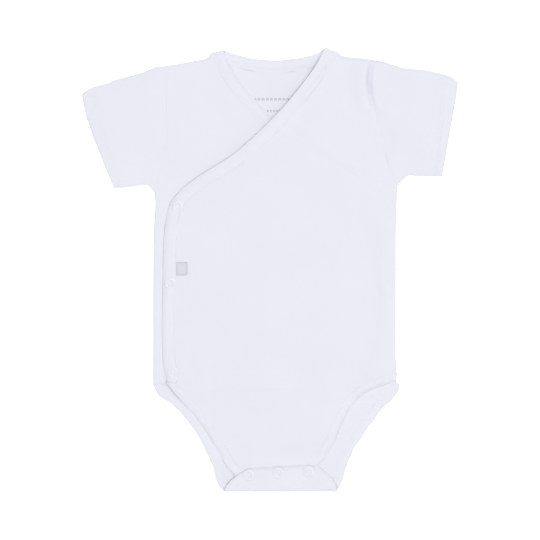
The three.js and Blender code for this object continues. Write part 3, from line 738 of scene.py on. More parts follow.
def lay_out(rows, line, depth):
    """The flat plan of a panel, its top rows bent to follow the line that crosses it."""
    share = column_shares()[None, :, None]
    plan = blend(rows[:, :1], rows[:, 1:], share)
    top = plan[0]
    above = height_of(line, top[:, 0]) - top[:, 1]
    bow = above - blend(above[0], above[-1], share[0, :, 0])
    fading = np.maximum(1 - (rows[0, 0, 1] - rows[:, 0, 1]) / depth, 0) ** 2
    plan[..., 1] += bow[None, :] * fading[:, None]
    return plan


def rolled(distance, depth=RIM_DROP, width=RIM_WIDTH, swell=0.0):
    """Near a seam the cloth swells a little and then rolls down into it."""
    drop = depth * np.maximum(1 - distance / width, 0) ** 2
    ridge = (1 - fade(distance, 0, 1.4 * width)) * fade(distance, 1.4 * width, 7 * width)
    swollen = 0.2 * depth * np.exp(-(((distance - 1.6 * width) / width) ** 2))
    return swollen + swell * ridge - drop


def arm_roll(piece, y):
    """Depth, width and swelling beside an armhole: the right one is pulled in at its top."""
    if piece not in ("over", "right"):
        return ARM_DROP + 0 * y, ARM_WIDTH + 0 * y, 0 * y
    pulled = 1 - fade(y, 0.124, 0.150)
    depth = ARM_DROP * (1 - 0.9 * fade(y, 0.104, 0.120)) + ARM_PULL * pulled
    return depth, ARM_WIDTH - 0.0004 * pulled, 0.0019 * pulled


def from_plan(plan, height):
    return np.concatenate([plan, height[..., None]], axis=-1)


# %% [markdown]
# ## The back
# The back is one piece from the shoulders to the crotch. There it goes on past the fold, turns up
# over the front and becomes the flap that carries the lower snaps. Its points are laid out flat
# first and then carried round the fold, so the knit runs on round it as in the real cloth.

# %% Back panel
FLAP_RISE = 0.0001  # a binding stands this far out of the flap
FLAP_EDGES = [  # ends of each edge of the flap, how far it comes down at both, and how gently
    ((-0.0180, -0.1666), (0.0391, -0.1624), 0.0013, 0.0026, 0.0036),
    ((0.0391, -0.1624), (0.0600, -0.1820), 0.0036, 0.0034, 0.0074),
    ((-0.0370, -0.1800), (-0.0180, -0.1666), 0.0014, 0.0010, 0.0020),
]
FLAP_GAPE = (-0.0318, -0.1755, 0.0048, 0.0020)  # middle, reach and height where its left end gapes
BAND_START = {
    "wrap": (0.92, -0.38),
    "under": (-0.98, -0.21),
    "leg_front_left": (1, 0),
    "leg_front_right": (0, 1),
    "leg_back_left": (1, 0),
    "leg_back_right": (-1, 0),
}


def flap_droop(x, y, past):
    """How far the edges of the flap come down onto the front."""
    droop = 0 * x
    for (ax, ay), (bx, by), first, last, reach in FLAP_EDGES:
        length = math.hypot(bx - ax, by - ay)
        inside = ((x - ax) * (by - ay) - (y - ay) * (bx - ax)) / length
        share = np.clip(((x - ax) * (bx - ax) + (y - ay) * (by - ay)) / length ** 2, 0, 1)
        depth = blend(first, last, share)
        droop = np.maximum(droop, depth * np.clip(1 - inside / reach, 0, 1) ** 1.5)
    gx, gy, reach, gape = FLAP_GAPE
    rise = gape * np.exp(-((x - gx) ** 2 + (y - gy) ** 2) / reach ** 2)
    return (droop - rise) * (1 - fade(past, 0.0042, 0.0090))


def on_back(x, along, height):
    """From a place on the flat back to its place on the garment, past the fold if need be."""
    past = FOLD_LINE - along
    turn = np.clip(past / FOLD_RADIUS, 0, math.pi)
    home = np.maximum(past - math.pi * FOLD_RADIUS, 0)
    reach = FOLD_RADIUS - height
    y = np.where(past <= 0, along, FOLD_LINE - reach * np.sin(turn) + home)
    z = np.where(past <= 0, height, FOLD_RADIUS - reach * np.cos(turn))
    return np.stack([x + 0 * y, y, z - flap_droop(x, y, past)], axis=-1)


def band_tip(edge, side):
    """The side of the flap beyond the end of a leg binding, from its inner corner to its tip."""
    tip = edge.point(1.0)
    inward = edge.across(1.0, side)
    corner = tip + inward * (LEG_BAND - TUCK)
    return Edge([tuple(corner), tuple(tip)])


def back_panel():
    arm_left = cut["armhole_left"].beside(0.0001, EAST)
    arm_right = cut["armhole_right"].beside(0.0001, WEST)
    side_left = cut["side_left"].beside(SEWN_INSET, EAST)
    side_right = cut["side_right"].beside(SEWN_INSET, WEST)
    inset = LEG_BAND - TUCK
    leg_left = cut["leg_left"].beside(inset, EAST, BAND_START["leg_back_left"])
    leg_right = cut["leg_right"].beside(inset, WEST, BAND_START["leg_back_right"])
    tip_left, tip_right = band_tip(cut["leg_left"], EAST), band_tip(cut["leg_right"], WEST)
    rows = rows_between([
        ((arm_left, arm_left.top - SHOULDER_INSET, 0.066),
         (arm_right, arm_right.top - SHOULDER_INSET, 0.0705)),
        ((side_left, 0.062, 0.034), (side_right, 0.068, 0.034)),
        ((side_left, 0.034, -0.084), (side_right, 0.034, -0.084)),
        ((side_left, -0.084, -0.0966), (side_right, -0.084, -0.0966)),
        ((leg_left, -0.097, -0.108), (leg_right, -0.097, -0.108)),
        ((leg_left, -0.108, FOLD_LINE), (leg_right, -0.108, FOLD_LINE)),
        ((leg_left, FOLD_LINE, -0.191), (leg_right, FOLD_LINE, -0.191)),
        ((leg_left, -0.191, leg_left.bottom), (leg_right, -0.191, leg_right.bottom)),
        ((tip_left, tip_left.top, tip_left.bottom), (tip_right, tip_right.top, tip_right.bottom)),
    ])
    down = np.array([0, 1])
    line = np.vstack([
        shoulder_line_left[:-1] - SHOULDER_INSET * down,
        back_neck_line[:-1] - SEWN_INSET * down,
        shoulder_line_right - SHOULDER_INSET * down,
    ])
    plan = lay_out(rows, line, 0.05)
    x, along = plan[..., 0], plan[..., 1]
    wavy = 0.00012 * unevenness(x, along, 0.02, 3) * fade(FOLD_LINE - along, -0.01, 0)
    raised = np.maximum(crease("back", x, along) + wavy, 0)
    outer = on_back(x, along, raised * fade(FOLD_LINE - along, -0.012, -0.002))
    on_flap = on_back(x, along, 0 * x)
    flap_relief = snap_pull(on_flap[..., 0], on_flap[..., 1], "crotch")
    flap_relief = flap_relief * (1 - fade(FOLD_LINE - along, 0.006, 0.009))
    outer[..., 2] += flap_relief
    inner = on_back(x, along, CLOTH + raised)
    inner[..., 2] += flap_relief
    return shell("cloth_back", inner, outer, plan, back_finish.material), plan


cloth_back, back_plan = back_panel()
print("back, cut", flat_size(back_plan))

# %% [markdown]
# ## The two fronts
# The front beneath runs from one shoulder across to the other side, but only its upper corner
# shows. The front on top comes from the other shoulder, wraps over and ends at the crotch under the
# flap. Both are laid on the heights worked out above and thickened along their own upward
# direction.

# %% Fronts
def lay_on(name, plan, floor, roll, seed, finish):
    """A panel on its floor, with its sewn edges rolled down and a slight unevenness."""
    x, y = plan[..., 0], plan[..., 1]
    uneven = 0.00010 * unevenness(x, y, 0.034, seed) + 0.00003 * unevenness(x, y, 0.012, seed + 1)
    under = from_plan(plan, floor(x, y) + roll)
    over = under + upward(under) * CLOTH
    over[..., 2] += uneven * np.clip(1 + roll / RIM_DROP, 0, 1)
    return shell(name, over, under, plan, finish.material)


def from_top(plan):
    """Distance of each point from the top row of its plan."""
    return np.linalg.norm(plan - plan[:1], axis=-1)


def front_under():
    armhole, side = cut["armhole_left"].beside(-ARM_LAP, EAST), cut["side_left"]
    neck = front["under"].beside(NECK_BAND - TUCK, WEST, BAND_START["under"])
    rows = rows_between([
        ((armhole, armhole.top, 0.148), (neck, neck.top, 0.150)),
        ((armhole, 0.148, 0.066), (neck, 0.150, 0.072)),
        ((side, 0.0626, 0.036), (neck, 0.070, 0.036)),
        ((side, 0.036, UNDER_HEM + 0.0006), (neck, 0.036, UNDER_HEM)),
    ])
    plan = lay_out(rows, shoulder_line_left, 0.04)
    from_side = np.linalg.norm(plan - plan[:, :1], axis=-1)
    arm = fade(side.top - plan[:, :1, 1], -0.004, 0.001)
    arm_deep, arm_wide, swell = arm_roll("under", plan[:, :1, 1])
    depth, width = blend(RIM_DROP, arm_deep, arm), blend(RIM_WIDTH, arm_wide, arm)
    roll = np.minimum(rolled(from_side, depth, width, swell * arm), rolled(from_top(plan)))
    roll = np.maximum(roll - 0.0013 * fade(plan[..., 1] - UNDER_HEM, 0, 0.008), -0.0011)
    return lay_on("cloth_front_under", plan, under_floor, roll, 11, jersey_finish), plan


def front_over():
    wrap = front["wrap"].beside(NECK_BAND - TUCK, EAST, BAND_START["wrap"])
    leg_left = front["leg_left"].beside(LEG_BAND - TUCK, EAST, BAND_START["leg_front_left"])
    leg_right = front["leg_right"].beside(LEG_BAND - TUCK, WEST, BAND_START["leg_front_right"])
    armhole, side = cut["armhole_right"].beside(-ARM_LAP, WEST), cut["side_right"]
    rows = rows_between([
        ((wrap, wrap.top, 0.066), (armhole, armhole.top, 0.072)),
        ((wrap, 0.0648, 0.038), (side, 0.0686, 0.038)),
        ((wrap, 0.038, -0.080), (side, 0.038, -0.076)),
        ((wrap, -0.080, -0.0956), (side, -0.076, FRONT_BAND_END)),
        ((leg_left, -0.0962, -0.104), (leg_right, leg_right.top, -0.093)),
        ((leg_left, -0.104, -0.116), (leg_right, -0.093, -0.104)),
        ((leg_left, -0.116, -0.150), (leg_right, -0.104, -0.150)),
        ((leg_left, -0.150, -0.172), (leg_right, -0.150, -0.172)),
        ((leg_left, -0.172, FRONT_HEM), (leg_right, -0.172, FRONT_HEM)),
    ])
    plan = lay_out(rows, shoulder_line_right, 0.03)
    end = plan[:, -1:]
    sewn = fade(FRONT_BAND_END - end[..., 1], 0, 0.002)
    from_side = np.linalg.norm(plan - end, axis=-1)
    arm = fade(side.top - end[..., 1], -0.004, 0.001)
    arm_deep, arm_wide, swell = arm_roll("over", end[..., 1])
    depth, width = blend(RIM_DROP, arm_deep, arm) * sewn, blend(RIM_WIDTH, arm_wide, arm)
    at_top = rolled(from_top(plan))
    roll = rolled(from_side, depth, width, swell * arm)
    roll = np.where(at_top < 0, np.minimum(roll, at_top), roll)
    return lay_on("cloth_front_over", plan, over_floor, roll, 21, jersey_finish), plan


cloth_under, under_plan = front_under()
cloth_over, over_plan = front_over()
print("front beneath, cut", flat_size(under_plan))
print("front on top, cut", flat_size(over_plan))

# %% [markdown]
# ## Bindings
# A strip of jersey is folded over each raw edge and sewn down through both sides. Seen from above
# it is a soft roll along the free edge, a flat stretch, and a shallow groove where the stitching
# pulls it down. So each binding is one section carried along its edge. The stitching also gathers
# the edge slightly, which leaves small ripples across the strip.

# %% Section of a binding, and bindings along the edges
BINDING_STEP = 0.0008
SECTION_TOP = [
    (0.000, 0.00018), (0.035, 0.00036), (0.100, 0.00060), (0.210, 0.00092), (0.340, 0.00118),
    (0.480, 0.00134), (0.620, 0.00137), (0.690, 0.00131), (0.760, 0.00131), (0.860, 0.00120),
    (0.920, 0.00111), (0.960, 0.00109), (1.000, 0.00096),
]
SECTION_LOW = [
    (0.990, 0.00040), (0.850, 0.00012), (0.500, 0.00002), (0.200, 0.00000), (0.030, 0.00004),
]
STITCH_ROWS = (0.690, 0.920)  # shares of the width where the two rows of stitching lie


def arc_lengths(points):
    return np.concatenate([[0], np.cumsum(np.linalg.norm(np.diff(points, axis=0), axis=1))])


def even_shares(edge, top, low):
    """Shares of an edge between two heights, evenly spaced along it."""
    fine = np.linspace(edge.locate(top), edge.locate(low), 600)
    run = arc_lengths(edge.point(fine))
    count = int(math.ceil(run[-1] / BINDING_STEP)) + 1
    return np.interp(np.linspace(0, run[-1], count), run, fine)


def binding(name, base, inward, width, place, wave=0.0, seed=0):
    """A binding along the points base. Place turns (x, y, height) into a point in space.

    Returns the object, its flat pattern, and the lines that its rows of stitching follow.
    """
    run = arc_lengths(base)
    section = np.array(SECTION_TOP + SECTION_LOW)
    share, height = section[:, 0], section[:, 1]
    gather = 0.00008 * unevenness(run, 0 * run, 0.007, seed)[:, None]
    gather = gather * np.sin(math.pi * np.clip(share[None, :], 0, 1))
    scallop = wave * unevenness(run, 0 * run, 0.010, seed + 5)[:, None]
    out = share[None, :] * width + scallop * (1 - share[None, :]) ** 2
    x = base[:, :1] + inward[:, :1] * out
    y = base[:, 1:] + inward[:, 1:] * out
    tall = height[None, :] + np.where(height > 0.0005, gather, 0)
    points = place(x, y, tall)
    rows, columns = points.shape[:2]
    index = np.arange(rows * columns).reshape(rows, columns)
    faces = [grid_faces(np.hstack([index, index[:, :1]]))]
    pattern = np.stack([share[None, :] * width + 0 * run[:, None], run[:, None] + 0 * x], axis=-1)
    ends = []
    for k, row in ((0, points[0]), (rows - 1, points[-1])):
        hub = rows * columns + len(ends)
        ends.append(row.mean(axis=0))
        ring = index[k] if k == 0 else index[k][::-1]
        after = np.roll(ring, -1)
        middle = np.full(columns, hub)
        faces.append(np.stack([after, ring, middle, middle], axis=-1))
    flat = np.vstack([pattern.reshape(-1, 2), pattern[0].mean(axis=0), pattern[-1].mean(axis=0)])
    piece = as_binding(name, np.vstack([points.reshape(-1, 3), *ends]), faces, flat)
    tracks = [points[:, int(np.argmin(abs(share - u)))] for u in STITCH_ROWS]
    return piece, (float(width + 2 * CLOTH), float(run[-1])), tracks


def as_binding(name, points, faces, flat):
    """The closed strip, its ends as fans of triangles."""
    body, *caps = faces
    quads = [list(map(int, f)) for f in body]
    fans = [list(map(int, f[:3])) for cap in caps for f in cap]
    whole = np.vstack([body, *caps])
    if volume_of(points, whole) < 0:
        quads = [f[::-1] for f in quads]
        fans = [f[::-1] for f in fans]
    mesh = bpy.data.meshes.new(name)
    mesh.from_pydata(points.tolist(), [], quads + fans)
    layer = mesh.uv_layers.new(name="cloth")
    corners = np.array([v for f in quads + fans for v in f])
    layer.data.foreach_set("uv", flat[corners].astype(np.float32).ravel())
    mesh.shade_smooth()
    mesh.materials.append(binding_finish.material)
    piece = bpy.data.objects.new(name, mesh)
    bpy.context.collection.objects.link(piece)
    print(name, len(quads) * 2 + len(fans), "triangles")
    return piece


def along_edge(edge, side, start, top, low):
    """Points of a binding's outer edge between two heights, and the way in from each."""
    share = even_shares(edge, top, low)
    return edge.point(share), edge.across(share, side, start)


def run_up(base, inward, length):
    """Starts a binding a little earlier, straight on from its first point."""
    ahead = base[0] - base[1]
    ahead /= np.linalg.norm(ahead)
    steps = np.arange(math.ceil(length / BINDING_STEP), 0, -1)[:, None] * BINDING_STEP
    more = base[0] + steps * ahead
    return np.vstack([more, base]), np.vstack([np.repeat(inward[:1], len(more), axis=0), inward])


def run_on(base, inward, step):
    """Two more steps at the end of a binding, the way that the next one goes."""
    more = base[-1] + np.array([[1.0], [2.0]]) * step
    return np.vstack([base, more]), np.vstack([inward, np.repeat(inward[-1:], 2, axis=0)])


FOOT_STEP = (0.0006, -0.0007)  # the wrap binding runs on like this beneath the leg binding
END_ROLL = 0.0012  # a binding bends down this much where it goes over the shoulder
FOOT_ROLL = 0.0009  # and this much at the inner corner of its lower end
FOOT_TUCK = 0.0003  # and this much where the leg binding covers it
SHOULDER_ROUND = 0.0035  # length over which it bends down at the shoulder
NECK_DROOP = 0.0010, 0.0013  # at the shoulder, and how much more lower down
WRAP_DROOP = 0.0017
LEG_DROOP = 0.0017
LEG_PRESS = 0.0006  # how deep the front's leg edge is pressed into the back at the side


def on_front(floor, droop, shoulder_top=1.0, foot=-1.0, bend=0.5):
    """Lays a binding on its front. Its free edge droops towards the layer beneath."""
    def place(x, y, tall):
        out = np.hypot(x - x[:, :1], y - y[:, :1])
        z = floor(x, y) + tall
        z = z - droop(x[:, :1], y[:, :1]) * np.maximum(1 - out / (bend * out.max()), 0) ** 1.5
        z = z - END_ROLL * np.maximum(1 - (shoulder_top - y[:, :1]) / SHOULDER_ROUND, 0) ** 2
        inner = 1 - fade(out, 0.0050, 0.0080)
        z = z - FOOT_ROLL * inner * (1 - fade(foot - y[:, :1], -0.0045, -0.0005))
        z = z - FOOT_TUCK * (1 - fade(foot - y[:, :1], -0.0020, -0.0012))
        return np.stack([x, y, np.maximum(z, 0.0002 + 0.6 * tall)], axis=-1)
    return place


def neck_droop(x, y):
    """How far the free edge of the neck comes down: more lower down than at the shoulder."""
    least, more = NECK_DROOP
    return least + more * (1 - fade(y, 0.145, 0.168))


def wrap_droop(x, y):
    """The wrap edge comes down along the side, and stands open above, towards the neck."""
    return WRAP_DROOP * fade(y, 0.050, 0.095)


def leg_droop(x, y):
    """Clear of the flap the edge lies down, and near the right side it touches the back."""
    clear = LEG_DROOP * (1 - fade(y, FLAP_REACH - 0.004, FLAP_REACH + 0.010))
    down = over_floor(x, y) - back_top(x, y) + LEG_PRESS
    return blend(clear, np.maximum(down, clear), 1 - fade(x, 0.062, 0.076))


def round_back(x, along, tall):
    """Carries a binding of the back round the fold. On the flap it lies on the other face."""
    shift = -FLAP_RISE * (1 - fade(FOLD_LINE - along, 0, math.pi * FOLD_RADIUS))
    return on_back(x, along, shift + tall)


under_edge, wrap_edge = front["under"], front["wrap"]
binding_under, size_under, tracks_under = binding(
    "binding_neck_under",
    *along_edge(under_edge, WEST, BAND_START["under"], under_edge.top, UNDER_HEM),
    NECK_BAND, on_front(under_floor, neck_droop, under_edge.top), seed=31)
binding_wrap, size_wrap, tracks_wrap = binding(
    "binding_wrap",
    *run_on(*along_edge(wrap_edge, EAST, BAND_START["wrap"], wrap_edge.top, wrap_edge.bottom),
            np.array(FOOT_STEP)),
    NECK_BAND, on_front(over_floor, wrap_droop, wrap_edge.top, wrap_edge.bottom + 2 * FOOT_STEP[1]),
    seed=41)
front_left, size_front_left, tracks_front_left = binding(
    "binding_leg_front_left",
    *run_up(*along_edge(front["leg_left"], EAST, BAND_START["leg_front_left"], -0.0959, FRONT_HEM),
            0.0024),
    LEG_BAND, on_front(over_floor, leg_droop, bend=0.8), 0.0001, 51)
front_right, size_front_right, tracks_front_right = binding(
    "binding_leg_front_right",
    *along_edge(front["leg_right"], WEST, BAND_START["leg_front_right"], -0.0940, FRONT_HEM),
    LEG_BAND, on_front(over_floor, leg_droop, bend=0.8), 0.0001, 61)
back_left, size_back_left, tracks_back_left = binding(
    "binding_leg_back_left",
    *run_up(*along_edge(cut["leg_left"], EAST, BAND_START["leg_back_left"], -0.0973,
                        cut["leg_left"].bottom), 0.0024),
    LEG_BAND, round_back, 0.0002, 71)
back_right, size_back_right, tracks_back_right = binding(
    "binding_leg_back_right",
    *run_up(*along_edge(cut["leg_right"], WEST, BAND_START["leg_back_right"], -0.0973,
                        cut["leg_right"].bottom), 0.0024),
    LEG_BAND, round_back, 0.0004, 81)

# %% Binding inside the back neck
NECK_ROLL = 0.0011  # its free edge rolls down by this much


def back_neck_binding():
    count = 90
    x = np.linspace(NECK_LEFT, NECK_RIGHT, count)
    base = np.stack([x, height_of(back_neck_line, x)], axis=-1)
    inward = np.stack([0 * x, 0 * x - 1], axis=-1)
    lies = CLOTH + SEAM

    def place(px, py, tall):
        down = height_of(back_neck_line, px) - py
        thin = 1 - 0.97 * fade(BACK_NECK_DEPTH - down, 0, 0.0075)
        roll = NECK_ROLL * np.maximum(1 - down / 0.0032, 0) ** 1.5
        pressed = (SEAM + 0.00002) * (1 - fade(down, 0.004, BACK_NECK_DEPTH))
        z = np.maximum(lies - pressed + tall * thin * CLOTH / BAND_WALL - roll, 0.0002)
        return np.stack([px, py, z], axis=-1)

    return binding("binding_neck_back", base, inward, BACK_NECK_DEPTH, place, seed=91)


binding_back, size_back, tracks_back = back_neck_binding()

# %% [markdown]
# ## Sleeves
# A sleeve is a tube that lies flat, open at the hem and sewn in at the armhole. Its plan is a patch
# between four curves: the armhole, the hem, the folded top edge and the underarm edge. Each station
# along it is a flattened loop, with a little air in the middle. The hem is turned up and doubled.

# %% Sleeve tubes
SLEEVE_EDGE = 0.0014  # outer radius along the folded edge
SLEEVE_HEM = 0.014
HEM_STEP = 0.0003  # the doubled hem stands this far out
Sleeve = namedtuple("Sleeve", "name piece side armhole hem top_edge under_edge")
SLEEVES = [
    Sleeve(
        "cloth_sleeve_left", "left", WEST, "armhole_left",
        [(-0.1579, 0.1480), (-0.1537, 0.1289), (-0.1487, 0.1138), (-0.1428, 0.0987),
         (-0.1369, 0.0836), (-0.1302, 0.0683)],
        [(-0.0861, 0.1712), (-0.0950, 0.1708), (-0.1020, 0.1680), (-0.1090, 0.1654),
         (-0.1189, 0.1626), (-0.1281, 0.1604), (-0.1370, 0.1566), (-0.1450, 0.1546),
         (-0.1530, 0.1516), (-0.1579, 0.1480)],
        [(-0.0962, 0.0634), (-0.0994, 0.0680), (-0.1034, 0.0708), (-0.1172, 0.0694),
         (-0.1302, 0.0683)],
    ),
    Sleeve(
        "cloth_sleeve_right", "right", EAST, "armhole_right",
        [(0.1577, 0.1580), (0.1558, 0.1440), (0.1530, 0.1289), (0.1503, 0.1138),
         (0.1477, 0.0987), (0.1441, 0.0783)],
        [(0.0853, 0.1764), (0.0920, 0.1758), (0.0995, 0.1738), (0.1063, 0.1714),
         (0.1145, 0.1694), (0.1298, 0.1680), (0.1399, 0.1658), (0.1466, 0.1644),
         (0.1533, 0.1616), (0.1577, 0.1580)],
        [(0.1068, 0.0696), (0.1109, 0.0744), (0.1163, 0.0790), (0.1247, 0.0786),
         (0.1441, 0.0783)],
    ),
]


def along_line(line, v):
    """The point a share v of the way in x along a crossing line."""
    x = blend(line[0, 0], line[-1, 0], v)
    way = line if line[0, 0] < line[-1, 0] else line[::-1]
    return np.stack([x, height_of(way, x)], axis=-1)


def sleeve_plan(spec):
    """A function from (a, v) to the flat plan: a down the sleeve's width, v out to its hem."""
    armhole, hem = cut[spec.armhole], Edge(spec.hem)
    top, under = smooth_line(spec.top_edge, 8), smooth_line(spec.under_edge, 8)

    def plan(a, v):
        a, v = np.broadcast_arrays(np.asarray(a, dtype=float), np.asarray(v, dtype=float))
        share, way = a[..., None], v[..., None]
        inner = armhole.at(blend(armhole.top, armhole.bottom, a))
        outer = hem.at(blend(hem.top, hem.bottom, a))
        upper = blend(along_line(top, v), along_line(under, v), share)
        near = blend(along_line(top, 0.0), along_line(under, 0.0), share)
        far = blend(along_line(top, 1.0), along_line(under, 1.0), share)
        return blend(inner, outer, way) + upper - blend(near, far, way)

    return plan


def air(spec, plan, a, v):
    """How far the upper layer stands off the lower one."""
    p = plan(a, v)
    x, y = p[..., 0], p[..., 1]
    middle = np.sin(math.pi * np.clip(a, 0, 1)) ** 0.6
    roundness = 0.0003 + 0.0009 * np.sin(math.pi * (0.15 + 0.6 * v))
    folded = lift(spec.piece, x, y) + crease(spec.piece, x, y)
    return middle * np.maximum(roundness + folded, 0)


def sleeve_top(spec, plan, a, v, span):
    """Height of the outside of the upper layer."""
    p = plan(a, v)
    seed = 101 if spec.side == WEST else 111
    uneven = 0.00012 * unevenness(p[..., 0], p[..., 1], 0.016, seed)
    from_seam = v * span
    from_hem = (1 - v) * span
    doubled = HEM_STEP * fade(from_hem, SLEEVE_HEM - 0.0008, SLEEVE_HEM + 0.0008)
    pull = 0.0002 * np.exp(-(((from_hem - SLEEVE_HEM + 0.0035) / 0.0008) ** 2))
    open_share = np.sin(math.pi * np.clip(a, 0.02, 0.98)) ** 0.3
    seam = rolled(from_seam, *arm_roll(spec.piece, p[..., 1])) * open_share
    own = 2 * SLEEVE_EDGE + air(spec, plan, a, v)
    body_floor = under_floor if spec.side == WEST else over_floor
    body = body_floor(p[..., 0], p[..., 1]) + CLOTH
    level = blend(own, np.maximum(body, 2 * SLEEVE_EDGE), fade(from_seam, 0, 0.014) * open_share)
    return level + uneven * np.sin(math.pi * a) + doubled - pull + seam


def sleeve(spec):
    plan = sleeve_plan(spec)
    ends = plan(0, 0), plan(0, 1)
    span = float(np.linalg.norm(ends[1] - ends[0]))
    runs, turns = 76, 6
    hem_from = 1 - SLEEVE_HEM / span
    v = np.unique(np.concatenate([
        np.linspace(0, 0.08, 8), np.linspace(0.08, hem_from, 24), np.linspace(hem_from, 1, 10)]))
    v = v[:, None]
    length = np.linalg.norm(plan(0.0, v) - plan(1.0, v), axis=-1)
    grids = []
    for thick in (0.0, CLOTH):
        radius = SLEEVE_EDGE - thick
        first, last = SLEEVE_EDGE / length, 1 - SLEEVE_EDGE / length
        down = blend(first, last, np.linspace(0, 1, runs)[None, :])
        angle = math.pi * (np.arange(1, turns)[None, :] / turns - 0.5)
        far = last + radius * np.cos(angle) / length
        near = first - radius * np.cos(angle[:, ::-1]) / length
        edge_rise = SLEEVE_EDGE + radius * np.sin(angle) + 0 * length
        top = sleeve_top(spec, plan, down, v, span) - thick
        a = np.concatenate([down, far, down[:, ::-1], near], axis=1)
        z = np.concatenate([
            thick + 0 * down, edge_rise, top[:, ::-1], edge_rise[:, ::-1]], axis=1)
        grids.append(from_plan(plan(a, v), z))
    outer, inner = grids
    start = outer[:, :, :2]
    piece = shell(spec.name, outer, inner, start, jersey_finish.material, around=True)
    around = np.linalg.norm(np.roll(outer, -1, axis=1) - outer, axis=-1).sum(axis=1).max()
    middle = np.linalg.norm(np.diff(outer[:, runs // 2], axis=0), axis=-1).sum()
    step = np.linalg.norm(np.diff(outer, axis=0), axis=-1)
    girth = np.linalg.norm(np.roll(outer, -1, axis=1) - outer, axis=-1)
    area = float((step * (girth[1:] + girth[:-1]) / 2).sum())
    size = float(around), float(max(middle, span))
    rows = []
    for back_off in (0.0032, 0.0056):
        share = np.linspace(0.03, 0.97, 120)
        out = 1 - (SLEEVE_HEM - back_off) / span
        flat = plan(share, out)
        height = sleeve_top(spec, plan, share, np.full(120, out), span)
        rows.append(from_plan(flat, height))
    return piece, size, min(area, size[0] * size[1]), rows


sleeves = [sleeve(spec) for spec in SLEEVES]
for spec, (_, size, area, _) in zip(SLEEVES, sleeves):
    print(spec.name, "cut", [round(s, 4) for s in size], round(area, 5))

# %% [markdown]
# ## Sewing
# Each binding and hem is held by two rows of stitches. A stitch is a short thick thread that dips
# into the cloth at both ends, so a stretched ball is form enough. One Geometry Nodes tree sets them
# along every line at an even pitch, turned to the line, each a little different in size.

# %% A tree that sets stitches along curves
thread_finish = Finish("thread", (0.80, 0.805, 0.875), 0.6)
thread_place = thread_finish.object_place()
thread_finish.tint(thread_finish.noise(thread_place, 900),
                   (0.72, 0.725, 0.79), (0.79, 0.795, 0.86))
thread_finish.bump(thread_finish.noise(thread_place, 5200, 1), 0.4, 0.00005)
thread_finish.shader.inputs["Sheen Weight"].default_value = 0.2


class Tree:
    """A Geometry Nodes tree with named inputs."""

    def __init__(self, name, inputs):
        self.tree = bpy.data.node_groups.new(name, "GeometryNodeTree")
        self.new_socket("Geometry", "INPUT", "NodeSocketGeometry")
        self.new_socket("Geometry", "OUTPUT", "NodeSocketGeometry")
        self.keys = {}
        for label, (kind, value) in inputs.items():
            socket = self.new_socket(label, "INPUT", kind)
            socket.default_value = value
            self.keys[label] = socket.identifier
        self.source = self.tree.nodes.new("NodeGroupInput")
        self.result = self.tree.nodes.new("NodeGroupOutput")

    def new_socket(self, name, direction, kind):
        return self.tree.interface.new_socket(name, in_out=direction, socket_type=kind)

    def add(self, kind, **sockets):
        node = self.tree.nodes.new(kind)
        for name, value in sockets.items():
            socket = node.inputs[name.replace("_", " ")]
            if isinstance(value, bpy.types.NodeSocket):
                self.tree.links.new(value, socket)
            else:
                socket.default_value = value
        return node

    def finish(self, geometry, material):
        whole = self.add("GeometryNodeRealizeInstances", Geometry=geometry)
        smooth = self.add("GeometryNodeSetShadeSmooth", Geometry=whole.outputs[0])
        dressed = self.add("GeometryNodeSetMaterial", Geometry=smooth.outputs[0])
        dressed.inputs["Material"].default_value = material
        self.tree.links.new(dressed.outputs[0], self.result.inputs[0])


stitch_tree = Tree("stitches", {
    "Pitch": ("NodeSocketFloat", 0.0026),
    "Stitch Length": ("NodeSocketFloat", 0.0021),
    "Thread": ("NodeSocketFloat", 0.0004),
    "Seed": ("NodeSocketInt", 7),
})
given = stitch_tree.source.outputs
spaced = stitch_tree.add("GeometryNodeResampleCurve", Curve=given["Geometry"])
spaced.mode = "LENGTH"
stitch_tree.tree.links.new(given["Pitch"], spaced.inputs["Length"])
size_node = stitch_tree.add("ShaderNodeCombineXYZ", X=given["Stitch Length"], Y=given["Thread"],
                            Z=given["Thread"])
ball = stitch_tree.add("GeometryNodeMeshUVSphere", Segments=6, Rings=5, Radius=0.5)
# The ball's poles are turned along the thread
stretched = stitch_tree.add("GeometryNodeTransform", Geometry=ball.outputs[0],
                            Scale=size_node.outputs[0])
tangent = stitch_tree.add("GeometryNodeInputTangent")
turned = stitch_tree.add("FunctionNodeAlignRotationToVector", Vector=tangent.outputs[0])
turned.axis = "X"
varied = stitch_tree.add("FunctionNodeRandomValue", Seed=given["Seed"])
varied.data_type = "FLOAT"
varied.inputs[2].default_value = 0.86
varied.inputs[3].default_value = 1.08
placed = stitch_tree.add("GeometryNodeInstanceOnPoints", Points=spaced.outputs[0],
                         Instance=stretched.outputs[0], Rotation=turned.outputs[0])
stitch_tree.tree.links.new(varied.outputs[1], placed.inputs["Scale"])
stitch_tree.finish(placed.outputs[0], thread_finish.material)


def grown(name, source, tree, values=None):
    """Runs a tree on an object, and gives the result as a plain mesh with no modifier."""
    modifier = source.modifiers.new(tree.tree.name, "NODES")
    modifier.node_group = tree.tree
    for label, value in (values or {}).items():
        modifier[tree.keys[label]] = value
    bpy.context.view_layer.update()
    evaluated = source.evaluated_get(bpy.context.evaluated_depsgraph_get())
    mesh = bpy.data.meshes.new_from_object(evaluated)
    source.modifiers.remove(modifier)
    bpy.data.objects.remove(source)
    mesh.name = name
    piece = bpy.data.objects.new(name, mesh)
    bpy.context.collection.objects.link(piece)
    print(name, sum(len(p.vertices) - 2 for p in mesh.polygons), "triangles")
    return piece


